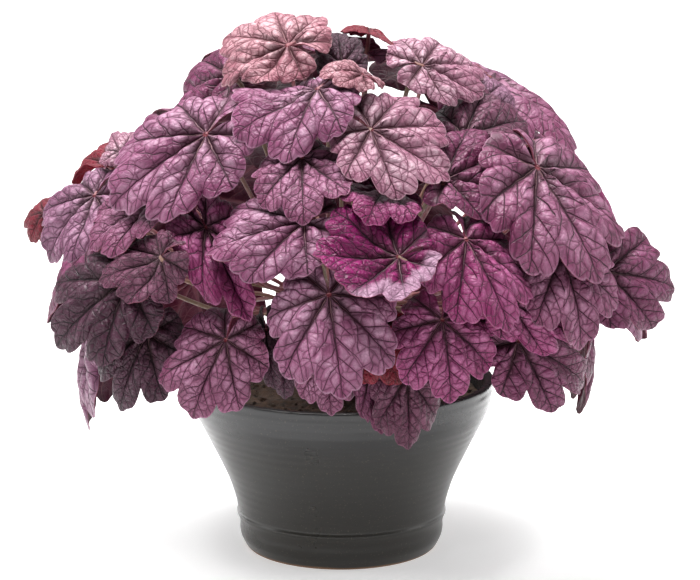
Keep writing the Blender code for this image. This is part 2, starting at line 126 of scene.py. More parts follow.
@dataclass(frozen=True)
class View:
    """The photograph's camera and its picture plane, which stands at the pot's axis.

    scale is metres a pixel on that plane, foot the pixel of the pot's foot and centre the picture's middle.
    """

    scale: float = 0.00063
    foot: tuple[float, float] = (341.4, 541.0)
    centre: tuple[float, float] = (350.0, 290.0)
    width: int = 700
    tilt: float = 12.0
    distance: float = 1.75
    sensor: float = 36.0

    @property
    def right(self) -> np.ndarray:
        """The picture's direction to the right."""
        return np.array([1.0, 0.0, 0.0])

    @property
    def towards(self) -> np.ndarray:
        """The direction towards the camera."""
        return heading(0.0, self.tilt)

    @property
    def up(self) -> np.ndarray:
        """The picture's upward direction."""
        return np.cross(self.right, -self.towards)

    @property
    def eye(self) -> np.ndarray:
        """The camera's place."""
        return self.plane_point(self.centre) + self.towards * self.distance

    def plane_point(self, pixel: tuple[float, float]) -> np.ndarray:
        """The point that the photograph shows at pixel on the plane through the pot's foot."""
        across, down = pixel[0] - self.foot[0], pixel[1] - self.foot[1]
        return (self.right * across - self.up * down) * self.scale

    def on_sphere(self, pixel: tuple[float, float], reach: float, far: bool) -> np.ndarray:
        """The point of a sphere about the heart that the photograph shows at pixel.

        Args:
            pixel: The pixel.
            reach: The sphere's radius.
            far: Whether the point is on the sphere's far side.

        Returns:
            The point.
        """
        ray = unit(self.plane_point(pixel) - self.eye)
        middle = self.eye + ray * ((HEART - self.eye) @ ray)
        half = math.sqrt(max(0.0, reach**2 - np.sum((middle - HEART) ** 2)))
        return middle + ray * (half if far else -half)

    def add_camera(self) -> None:
        """Makes the scene's camera."""
        data = bpy.data.cameras.new("camera")
        data.sensor_width = self.sensor
        data.lens = self.sensor * self.distance / (self.width * self.scale)
        data.clip_end = 20.0
        camera = bpy.data.objects.new("camera", data)
        place = Matrix([self.right, self.up, self.towards]).transposed().to_4x4()
        place.translation = Vector(self.eye)
        camera.matrix_world = place
        bpy.context.scene.collection.objects.link(camera)
        bpy.context.scene.camera = camera


@dataclass(frozen=True)
class Palette:
    """A leaf's colours, as 8-bit screen values: between the veins, near them, in them and below the blade.

    silver is how much of the pale film covers the blade, hem how much of it reaches the margin, and lip how
    strong the painted highlight, a pale band, is on a turned-up margin.
    """

    pale: tuple[int, int, int]
    base: tuple[int, int, int]
    vein: tuple[int, int, int]
    below: tuple[int, int, int]
    silver: float = 0.8
    hem: float = 0.4
    lip: float = 0.0


class Tone(Enum):
    """The colours that leaves of one plant take with age and light. Two tones are the silver colours
    darkened, as painted shade for leaves that lie in shade.
    """

    SILVER = Palette((216, 164, 194), (150, 62, 112), (72, 26, 50), (112, 36, 66), 0.90)
    PALE = Palette((240, 198, 214), (176, 96, 132), (92, 44, 62), (124, 46, 74), 0.95)
    SALMON = Palette((240, 192, 200), (182, 102, 122), (108, 52, 62), (136, 56, 72), 0.92)
    PINK = Palette((206, 144, 178), (138, 52, 98), (62, 22, 42), (112, 30, 62), 0.82)
    LILAC = Palette((208, 158, 188), (138, 68, 110), (74, 34, 58), (104, 36, 66), 0.84)
    MAGENTA = Palette((214, 128, 178), (150, 24, 100), (64, 12, 44), (128, 20, 74), 0.66)
    PURPLE = Palette((178, 104, 146), (118, 30, 78), (56, 14, 38), (96, 20, 52), 0.66)
    # painted shade: the silver colours darkened by about a third, for leaves in half shade
    DUSK = Palette((158, 100, 128), (100, 34, 68), (46, 14, 32), (80, 20, 44), 0.70)
    # painted shade: the silver colours darkened by half, for leaves deep in shade
    DARK = Palette((118, 76, 98), (74, 26, 52), (34, 12, 24), (62, 16, 34), 0.60)
    BURGUNDY = Palette((168, 30, 66), (138, 6, 40), (66, 4, 20), (170, 8, 44), 0.35)
    # painted shade: a deep magenta for the bowl's inside, which lies in shade; its pale lip is a painted
    # highlight
    BOWL = Palette((176, 34, 124), (118, 6, 80), (52, 4, 36), (150, 70, 110), 0.70, hem=1.2, lip=0.9)


@dataclass(frozen=True)
class LeafPlan:
    """One leaf: where its stalk meets the blade, how the blade faces and points, and its form.

    joint is the photograph's pixel of the stalk's end and reach its distance from the heart in metres. face
    turns the blade from facing straight out of the mound, by azimuth (to the right) and elevation (up), in
    degrees. tip is the clock angle of the tip lobe in the photograph, size the tip lobe's length in metres,
    and wide the share of its full width. fold is a roof (+) or a valley (-) along the midrib in degrees, and
    sway bends the stalk's middle aside, in degrees of azimuth and elevation. A far leaf stands behind the
    heart, and a fine one has more points round its margin.
    """

    name: str
    joint: tuple[float, float]
    reach: float
    face: tuple[float, float]
    tip: float
    size: float
    tone: Tone = Tone.SILVER
    wide: float = 1.0
    cut: float = 0.14
    cup: float = 0.35
    fold: float = 0.0
    droop: float = 0.10
    ruffle: float = 0.042
    sway: tuple[float, float] = (0.0, 0.0)
    far: bool = False
    fine: bool = False


# The leaves that the photograph shows, each laid over those before it
FRONT = (
    LeafPlan("low_behind", (286, 346), 0.140, (0, 4), 186, 0.031, Tone.DARK, wide=0.75, sway=(2, -3)),
    LeafPlan("low_middle_left", (267, 330), 0.146, (0, 6), 178, 0.034, Tone.DARK, wide=0.64, sway=(2, 3)),
    LeafPlan("bottom_middle", (326, 352), 0.142, (0, 4), 176, 0.037, Tone.PINK, cut=0.11, wide=0.78),
    LeafPlan("bottom_narrow", (368, 374), 0.134, (-20, 6), 170, 0.036, Tone.PURPLE, wide=0.5, fold=-20),
    LeafPlan("bottom_right_hung", (406, 374), 0.146, (0, 4), 174, 0.045, Tone.DUSK, cut=0.11, wide=0.72),
    LeafPlan("red_lobe", (370, 332), 0.150, (0, 10), 146, 0.034, Tone.BURGUNDY),
    LeafPlan(
        "bottom_left_dark", (147, 334), 0.176, (22, 16), 208, 0.047, Tone.DARK, cut=0.25, cup=0.4,
        wide=0.9,
    ),
    LeafPlan(
        "low_left_pink", (226, 340), 0.168, (10, 10), 208, 0.049, Tone.PINK, wide=0.82, fold=10,
        ruffle=0.06, sway=(-4, 0),
    ),
    LeafPlan("low_right", (518, 341), 0.176, (-16, 10), 114, 0.057, Tone.PURPLE, cut=0.24, wide=0.85),
    LeafPlan(
        "low_right_magenta", (442, 320), 0.176, (-6, 10), 168, 0.047, Tone.MAGENTA, cut=0.19, cup=0.5,
        fine=True,
    ),
    LeafPlan(
        "left_dark", (128, 280), 0.190, (26, 12), 238, 0.060, Tone.DARK, cut=0.21, cup=0.4, wide=0.9,
        fine=True,
    ),
    LeafPlan("far_right", (604, 272), 0.200, (-34, 8), 94, 0.056, Tone.PURPLE, cut=0.18, wide=0.88),
    LeafPlan(
        "low_right_upper", (503, 303), 0.186, (-12, 14), 108, 0.052, Tone.MAGENTA, wide=0.55, fold=22,
        sway=(3, 5),
    ),
    LeafPlan(
        "right_middle", (560, 252), 0.200, (-22, 12), 156, 0.056, Tone.PINK, cut=0.18, cup=0.4,
        wide=0.88, fine=True,
    ),
    LeafPlan(
        "low_middle", (329, 295), 0.190, (0, 14), 172, 0.059, Tone.SILVER, fold=10, cup=0.3, wide=0.94,
        fine=True,
    ),
    LeafPlan(
        "left_folded", (206, 228), 0.180, (16, 10), 154, 0.062, Tone.MAGENTA, wide=0.6, fold=-30,
        ruffle=0.06,
    ),
    LeafPlan("left_small", (174, 264), 0.184, (20, 24), 266, 0.041, Tone.DUSK, wide=0.8, fold=14),
    LeafPlan("far_left_dark_red", (45, 213), 0.206, (34, 4), 264, 0.025, Tone.BURGUNDY, fold=16),
    LeafPlan(
        "far_left_silver", (95, 196), 0.198, (30, 12), 234, 0.048, Tone.LILAC, cup=0.5, ruffle=0.06,
        fine=True,
    ),
    LeafPlan("left_green_edge", (150, 206), 0.190, (22, 16), 246, 0.043, Tone.PINK, wide=0.85, ruffle=0.06),
    LeafPlan(
        "right_twisted", (466, 240), 0.198, (-10, 14), 146, 0.057, Tone.MAGENTA, cut=0.18, wide=0.8,
        fold=20, ruffle=0.06, fine=True,
    ),
    LeafPlan(
        "left_middle", (304, 223), 0.192, (4, 14), 262, 0.058, Tone.SILVER, cut=0.11, cup=0.3, wide=0.82,
        fine=True,
    ),
    LeafPlan(
        "middle_bowl", (398, 258), 0.192, (-8, 26), 264, 0.050, Tone.BOWL, cup=-0.55, ruffle=0.05,
        fine=True,
    ),
    LeafPlan("inner_magenta", (384, 190), 0.178, (0, 12), 206, 0.036, Tone.MAGENTA, sway=(0, -5)),
    LeafPlan("upper_right_lilac", (482, 100), 0.200, (-20, -14), 48, 0.034, Tone.LILAC, wide=0.85),
    LeafPlan("upper_right_dark", (464, 138), 0.194, (-18, 2), 68, 0.049, Tone.DUSK, wide=0.9),
    LeafPlan("inner_right", (444, 181), 0.194, (-14, 18), 66, 0.052, Tone.PURPLE, wide=0.9),
    LeafPlan(
        "middle_pink", (302, 159), 0.196, (2, 12), 180, 0.043, Tone.PINK, cup=0.4, sway=(0, -4),
        fine=True,
    ),
    LeafPlan("far_left_burgundy", (106, 164), 0.192, (34, -2), 292, 0.030, Tone.BURGUNDY),
    LeafPlan(
        "far_left_curl", (124, 156), 0.196, (30, -10), 326, 0.029, Tone.PALE, fold=20, wide=0.7,
        sway=(4, 4),
    ),
    LeafPlan(
        "right_large", (533, 172), 0.206, (-24, 12), 136, 0.074, Tone.PINK, cut=0.16, fold=12, cup=0.4,
        fine=True,
    ),
    LeafPlan(
        "upper_left", (206, 135), 0.206, (20, -4), 242, 0.068, Tone.SILVER, cut=0.13, cup=0.30,
        wide=0.84, fine=True,
    ),
    LeafPlan("back_left_purple", (230, 76), 0.194, (16, -22), 306, 0.060, Tone.PURPLE, wide=0.85),
    LeafPlan(
        "upper_right_pale", (371, 130), 0.206, (0, -6), 116, 0.052, Tone.PALE, cup=0.22, sway=(2, 0),
        fine=True,
    ),
    LeafPlan("top_red", (368, 45), 0.200, (0, -14), 6, 0.026, Tone.BURGUNDY, far=True),
    LeafPlan("top_dark", (342, 66), 0.204, (0, -34), 354, 0.029, Tone.DARK, wide=0.8, sway=(0, 12)),
    LeafPlan(
        "top_right_pale", (422, 66), 0.214, (0, -12), 82, 0.048, Tone.PALE, cup=0.3, wide=0.9, fine=True,
    ),
    LeafPlan(
        "top_middle", (318, 94), 0.210, (0, 0), 250, 0.054, Tone.SILVER, fold=20, cup=0.5, sway=(-3, -3),
        fine=True,
    ),
    LeafPlan(
        "young_curl", (362, 82), 0.214, (0, 0), 300, 0.029, Tone.SALMON, fold=28, cup=0.6, sway=(3, 10),
    ),
    LeafPlan(
        "top_left", (288, 46), 0.220, (0, -24), 288, 0.054, Tone.SALMON, fold=16, sway=(0, 6), fine=True,
    ),
)

# The rows of leaves that close the mound behind, from the rim upwards: count, elevation, first and last
# azimuth, reach and size
BACK_ROWS = (
    (5, 8.0, 108.0, 260.0, 0.158, 0.068),
    (5, 27.0, 78.0, 262.0, 0.176, 0.082),
    (4, 44.0, 112.0, 246.0, 0.188, 0.085),
    (3, 62.0, 88.0, 208.0, 0.197, 0.078),
)
BACK_TONES = (Tone.PURPLE, Tone.SILVER, Tone.MAGENTA, Tone.PINK, Tone.LILAC)
BACK_SEED = 11
BACK_WIDE = 1.15


@dataclass(frozen=True)
class LobeForm:
    """A blade's seven lobes: middle angles, half widths in degrees, and lengths as shares of the tip's."""

    middles: tuple[float, ...] = (-140.5, -86.0, -42.0, 0.0, 42.0, 86.0, 140.5)
    halves: tuple[float, ...] = (31.5, 23.0, 21.0, 21.0, 21.0, 23.0, 31.5)
    lengths: tuple[float, ...] = (0.47, 0.68, 0.88, 1.0, 0.88, 0.68, 0.47)
    sinus: float = 172.0
    tooth: float = 0.045

    def place(self, theta: np.ndarray) -> tuple[np.ndarray, np.ndarray, np.ndarray]:
        """Finds the lobe of each angle.

        Args:
            theta: Angles in degrees.

        Returns:
            The lobe's index, the place across it from -1 to 1, and the lobes' smoothed length.
        """
        middles, halves = np.array(self.middles), np.array(self.halves)
        index = (np.abs(theta[:, None] - middles) / halves).argmin(axis=1)
        return index, (theta - middles[index]) / halves[index], np.interp(theta, middles, self.lengths)

    def outline(self, theta: np.ndarray, cut: float) -> np.ndarray:
        """The margin's distance from the joint.

        Formula: the lobes' smoothed length, less cut at the notches between lobes, less a little at the
        notches between a lobe's three rounded teeth.

        Args:
            theta: Angles in degrees.
            cut: The notches' depth as a share of the length.

        Returns:
            The distances as shares of the tip lobe's length.
        """
        _, across, length = self.place(theta)
        tooth = 2.0 * ((1.5 * across + 0.5) % 1.0) - 1.0
        return length * (1.0 - cut * np.abs(across) ** 3.0) * (1.0 - self.tooth * np.abs(tooth) ** 2.2)

    def columns(self, per_lobe: int) -> np.ndarray:
        """Angles round the blade, the same number in each lobe, with a column on each notch."""
        steps = np.linspace(-1.0, 1.0, per_lobe, endpoint=False)
        lobes = np.array(self.middles)[:, None] + np.array(self.halves)[:, None] * steps
        return np.append(lobes.ravel(), self.sinus)


LOBES = LobeForm()


class Blade:
    """A leaf's blade as a smooth surface of rho, from the joint to the margin, and theta, round it."""

    pucker = 0.048
    basal_rise = 0.14
    knot_spread = 0.17
    fold_radius = 0.03

    def __init__(self, plan: LeafPlan, joint: np.ndarray, normal: np.ndarray, tip: np.ndarray) -> None:
        """Places the blade.

        Args:
            plan: The leaf.
            joint: Where the stalk meets the blade.
            normal: The way the blade faces.
            tip: The way its tip lobe points, before it is brought square to normal.
        """
        self.plan, self.joint = plan, joint
        self.normal = unit(normal)
        self.tip = unit(tip - self.normal * (tip @ self.normal))
        self.side = np.cross(self.normal, self.tip)
        rng = np.random.default_rng(zlib.crc32(plan.name.encode()))
        self.phases = rng.uniform(0.0, 2.0 * math.pi, 3)
        edges = [(m - h, m, m + h) for m, h in zip(LOBES.middles, LOBES.halves)]
        stations = sorted({angle for edge in edges for angle in edge})
        rho, theta = np.meshgrid((0.35, 0.7, 1.0), stations, indexing="ij")
        rho, theta = np.append(rho.ravel(), 0.0), np.append(theta.ravel(), 0.0)
        self.knots = self.flat(rho, theta)[:, :2]
        self.lifts = np.zeros(len(self.knots))

    def flat(self, rho: np.ndarray, theta: np.ndarray) -> np.ndarray:
        """The blade before it is lifted, in shares of its size.

        Formula: the outline's polar plan rolled back along an arc from the joint; lowered by the tip's
        droop, raised behind the joint, puffed up along each lobe, waved to the margin, and folded along the
        midrib.

        Args:
            rho: Shares of the way to the margin.
            theta: Angles in degrees.

        Returns:
            Rows of x to the tip, y to the side and height.
        """
        plan = self.plan
        turn = np.radians(theta)
        reach = rho * LOBES.outline(theta, plan.cut)
        _, across, _ = LOBES.place(theta)
        bend = plan.cup if abs(plan.cup) > 1e-3 else 1e-3
        arc = np.sin(bend * reach) / bend
        height = -(1.0 - np.cos(bend * reach)) / bend
        x, y = arc * np.cos(turn), arc * np.sin(turn) * plan.wide
        height = height - plan.droop * np.maximum(x, 0.0) ** 2 + self.basal_rise * np.maximum(-x, 0.0) ** 1.5
        height = height + self.pucker * np.sin(math.pi * rho) * 0.5 * (1.0 - np.cos(math.pi * across))
        waves = np.cos(math.pi * across) * -0.6 + np.sin(3.0 * turn + self.phases[0])
        waves = waves + 0.6 * np.sin(5.0 * turn + self.phases[1])
        height = height + plan.ruffle * rho**3 * waves
        lean = math.radians(plan.fold)
        ridge = np.sqrt(y**2 + self.fold_radius**2) - self.fold_radius
        return np.stack([x, y * math.cos(lean), height - ridge * math.sin(lean)], axis=1)

    def weights(self, plan_points: np.ndarray) -> np.ndarray:
        """How much each knot's lift counts at each point of the blade's plan."""
        gaps = np.sum((plan_points[:, None] - self.knots) ** 2, axis=2)
        near = np.exp(-gaps / (2.0 * self.knot_spread**2)) + 1e-12
        return near / near.sum(axis=1, keepdims=True)

    def points(self, rho: np.ndarray, theta: np.ndarray) -> np.ndarray:
        """The blade's middle surface in metres."""
        local = self.flat(rho, theta)
        frame_axes = np.stack([self.tip, self.side, self.normal])
        spots = self.joint + self.plan.size * (local @ frame_axes)
        lift = self.weights(local[:, :2]) @ self.lifts
        return spots + unit(spots - HEART) * lift[:, None]


class Canopy:
    """How far from the heart the leaves and the pot already reach, in each direction."""

    step = math.radians(0.5)
    half = math.radians(145.0)
    clearance = 0.0024

    def __init__(self) -> None:
        """Starts with an empty map."""
        self.side = int(2 * self.half / self.step) + 1
        self.reach = np.zeros((self.side, self.side))

    def cells(self, points: np.ndarray) -> tuple[np.ndarray, np.ndarray, np.ndarray]:
        """The map's row and column of each point, and its distance from the heart."""
        away = points - HEART
        reach = np.linalg.norm(away, axis=1)
        fall = np.arccos(np.clip(away[:, 2] / reach, -1.0, 1.0))
        level = np.hypot(away[:, 0], away[:, 1]) + 1e-12
        place = (away[:, :2] / level[:, None] * fall[:, None] + self.half) / self.step
        place = np.clip(np.round(place).astype(int), 1, self.side - 2)
        return place[:, 0], place[:, 1], reach

    def stamp(self, points: np.ndarray) -> None:
        """Adds a surface to the map."""
        row, column, reach = self.cells(points)
        np.maximum.at(self.reach, (row, column), reach)

    def shortfall(self, points: np.ndarray) -> np.ndarray:
        """How much further out each point has to be to clear what is below it."""
        row, column, reach = self.cells(points)
        near = [self.reach[row + i, column + j] for i in (-1, 0, 1) for j in (-1, 0, 1)]
        return np.max(near, axis=0) + self.clearance - reach

    def lay(self, blade: Blade) -> None:
        """Rests a blade on those below it: its knots rise until no point is short, and it joins the map."""
        angles = np.linspace(-LOBES.sinus, LOBES.sinus, 130)
        rho, theta = np.meshgrid(np.linspace(0.02, 1.0, 34), angles, indexing="ij")
        rho, theta = rho.ravel(), theta.ravel()
        weights = blade.weights(blade.flat(rho, theta)[:, :2])
        share = weights / weights.max(axis=1, keepdims=True)
        for _ in range(12):
            short = np.maximum(self.shortfall(blade.points(rho, theta)), 0.0)
            if short.max() < 1e-4:
                break
            blade.lifts += (short[:, None] * share**2).max(axis=0)
        self.stamp(blade.points(rho, theta))


@dataclass
class MeshSheet:
    """A mesh under way: points, faces with their material slots, and values for each face's corners."""

    points: list[np.ndarray] = field(default_factory=list)
    faces: list[np.ndarray] = field(default_factory=list)
    slots: list[int] = field(default_factory=list)
    plan: list[np.ndarray] = field(default_factory=list)
    lobe: list[np.ndarray] = field(default_factory=list)
    hem: list[np.ndarray] = field(default_factory=list)
    count: int = 0

    def add_points(self, points: np.ndarray) -> int:
        """Adds points, and returns the number of the first."""
        first = self.count
        self.points.append(points.reshape(-1, 3))
        self.count += len(self.points[-1])
        return first

    def add_faces(self, faces: np.ndarray, slot: int = 0, maps: np.ndarray | None = None) -> None:
        """Adds faces of one size.

        Args:
            faces: Point numbers, a row for each face.
            slot: The faces' material slot.
            maps: For each corner, the place on the blade's flat plan, the place along and across its lobe's
                vein, and the share of the way to the margin with the angle.
        """
        self.faces.append(faces)
        self.slots.append(slot)
        maps = np.zeros((*faces.shape, 6)) if maps is None else maps
        for values, pair in zip((self.plan, self.lobe, self.hem), (0, 2, 4)):
            values.append(maps[..., pair : pair + 2])

    def build(self, name: str, with_maps: bool = False, sharp: float = 50.0) -> bpy.types.Object:
        """Makes the object, shaded smooth.

        Args:
            name: The object's name.
            with_maps: Whether to store the corners' maps.
            sharp: Edges sharper than this many degrees stay crisp.

        Returns:
            The object, at the origin.
        """
        mesh = bpy.data.meshes.new(name)
        points = np.concatenate(self.points)
        corners = np.concatenate([faces.ravel() for faces in self.faces])
        sizes = np.concatenate([np.full(len(faces), faces.shape[1]) for faces in self.faces])
        mesh.vertices.add(len(points))
        mesh.vertices.foreach_set("co", points.ravel().astype(np.float32))
        mesh.loops.add(len(corners))
        mesh.loops.foreach_set("vertex_index", corners.astype(np.int32))
        mesh.polygons.add(len(sizes))
        mesh.polygons.foreach_set("loop_start", (np.cumsum(sizes) - sizes).astype(np.int32))
        slots = np.concatenate([np.full(len(faces), slot) for faces, slot in zip(self.faces, self.slots)])
        mesh.polygons.foreach_set("material_index", slots.astype(np.int32))
        mesh.update(calc_edges=True)
        for title in ("plan", "lobe", "hem") if with_maps else ():
            layer = mesh.uv_layers.new(name=title)
            flat = np.concatenate([value.reshape(-1, 2) for value in getattr(self, title)])
            layer.uv.foreach_set("vector", flat.ravel().astype(np.float32))
        mesh.validate()
        mesh.shade_smooth()
        mesh.set_sharp_from_angle(angle=math.radians(sharp))
        piece = bpy.data.objects.new(name, mesh)
        bpy.context.scene.collection.objects.link(piece)
        return piece


def grid_faces(rows: int, columns: int, first: int, wrap: bool = False) -> np.ndarray:
    """The quads of a grid of points.

    Args:
        rows: Rows of points.
        columns: Points in a row.
        first: The first point's number.
        wrap: Whether the last column joins the first.

    Returns:
        Point numbers, a row for each quad, by row and then by column.
    """
    i, j = np.meshgrid(np.arange(rows - 1), np.arange(columns if wrap else columns - 1), indexing="ij")
    here, ahead, down = i * columns + j, i * columns + (j + 1) % columns, columns
    return np.stack([here, here + down, ahead + down, ahead], axis=-1).reshape(-1, 4) + first


def ring_fan(ring: np.ndarray, pole: int, turned: bool = False) -> np.ndarray:
    """Triangles from a closed ring of point numbers to a pole."""
    ahead = np.roll(ring, -1)
    columns = (ahead, ring) if turned else (ring, ahead)
    return np.stack([*columns, np.full(len(ring), pole)], axis=1)


def turned(radius: np.ndarray, around: np.ndarray, height: np.ndarray) -> np.ndarray:
    """Points at a radius and an angle about the upright axis, and at a height."""
    return np.stack(np.broadcast_arrays(radius * np.cos(around), radius * np.sin(around), height), axis=-1)


def add_round(
    sheet: MeshSheet, grid: np.ndarray, poles: Sequence[np.ndarray], slot: int = 0, flip: bool = False,
) -> None:
    """Adds a surface that runs round, closed by a fan to a pole before its first row and after its last.

    Args:
        sheet: The mesh.
        grid: The surface's points, by row and then round.
        poles: The two poles.
        slot: The material slot.
        flip: Whether the rows run the other way, so that the faces have to be turned.
    """
    rows, sides = grid.shape[:2]
    first = sheet.add_points(grid)
    faces = grid_faces(rows, sides, first, wrap=True)
    sheet.add_faces(faces[:, ::-1] if flip else faces, slot)
    for row, pole, ahead in ((0, poles[0], not flip), (rows - 1, poles[1], flip)):
        tip = sheet.add_points(np.array([pole]))
        sheet.add_faces(ring_fan(np.arange(sides) + first + row * sides, tip, ahead), slot)


def carry_tube(sheet: MeshSheet, path: np.ndarray, radii: np.ndarray, sides: int, slot: int) -> None:
    """Carries a circle along a path, with closed ends.

    Formula: at each point the circle lies square to the path, and its axes are turned as little as possible
    by taking one of them square to a fixed direction.

    Args:
        sheet: The mesh.
        path: Points along the middle.
        radii: The radius at each.
        sides: Sides of the tube.
        slot: The material slot.
    """
    along = unit(np.gradient(path, axis=0))
    bend = np.cross(path[-1] - path[0], path[len(path) // 2] - path[0])
    fixed = unit(bend + np.array([1e-6, 2e-6, 3e-6]))
    across = unit(np.cross(along, fixed))
    other = np.cross(along, across)
    turn = np.linspace(0.0, 2.0 * math.pi, sides, endpoint=False)[None, :, None]
    ring = across[:, None] * np.cos(turn) + other[:, None] * np.sin(turn)
    add_round(sheet, path[:, None] + ring * radii[:, None, None], (path[0], path[-1]), slot, flip=True)


def smooth_path(knots: np.ndarray, count: int) -> np.ndarray:
    """A smooth path through knots.

    Formula: a Catmull-Rom spline, whose tangent at each knot is half the step between the knots beside it.

    Args:
        knots: Rows of knots.
        count: How many points to give.

    Returns:
        The points.
    """
    padded = np.vstack([2 * knots[0] - knots[1], knots, 2 * knots[-1] - knots[-2]])
    steps = np.concatenate([[0.0], np.cumsum(np.linalg.norm(np.diff(knots, axis=0), axis=1))])
    place = np.interp(np.linspace(0.0, steps[-1], count), steps, np.arange(len(knots)))
    span = np.minimum(place.astype(int), len(knots) - 2)
    t = (place - span)[:, None]
    before, start, end, after = (padded[span + shift] for shift in range(4))
    even = 2 * start + (end - before) * t
    odd = (2 * before - 5 * start + 4 * end - after) * t**2 + (3 * start - before - 3 * end + after) * t**3
    return 0.5 * (even + odd)


@dataclass(frozen=True)
class LeafRelief:
    """A blade's relief, in shares of its size: grooves along the veins, domes between, and a frilled hem."""

    groove: float = 0.016
    groove_width: float = 0.030
    dome: float = 0.019
    spacing: float = 0.17
    slant: float = 1.05
    frill: float = 0.020
    curl: float = 0.035

    def height(self, along: np.ndarray, across: np.ndarray, rho: np.ndarray) -> np.ndarray:
        """The relief's height.

        Formula: a groove that follows the lobe's vein, and between the side veins, which leave it on
        alternate sides at a slant, domes that follow a squared sine and fade to the margin.

        Args:
            along: Distance along the lobe's vein.
            across: Distance from it, positive on one side.
            rho: Share of the way to the margin.

        Returns:
            The height as a share of the blade's size.
        """
        away = np.abs(across)
        phase = (along - self.slant * away) / self.spacing + 0.5 * (across > 0)
        dome = np.sin(math.pi * phase) ** 2 * smoothstep(0.0, 0.07, away) * smoothstep(0.04, 0.15, along)
        groove = np.exp(-((across / self.groove_width) ** 2)) * smoothstep(0.02, 0.1, along)
        return (self.dome * dome - self.groove * groove) * (1.0 - rho**6)

    def hem(self, turn: np.ndarray, rho: np.ndarray, phases: np.ndarray) -> np.ndarray:
        """The hem's height.

        Formula: two waves round the blade that grow with the fourth power of the way to the margin, less a
        curl that turns the last of it down.

        Args:
            turn: Angles round the blade in radians.
            rho: Share of the way to the margin.
            phases: The waves' phases.

        Returns:
            The height as a share of the blade's size.
        """
        waves = np.sin(8.0 * turn + phases[0]) + 0.7 * np.sin(13.0 * turn + phases[1])
        return self.frill * waves * rho**4 - self.curl * rho**9


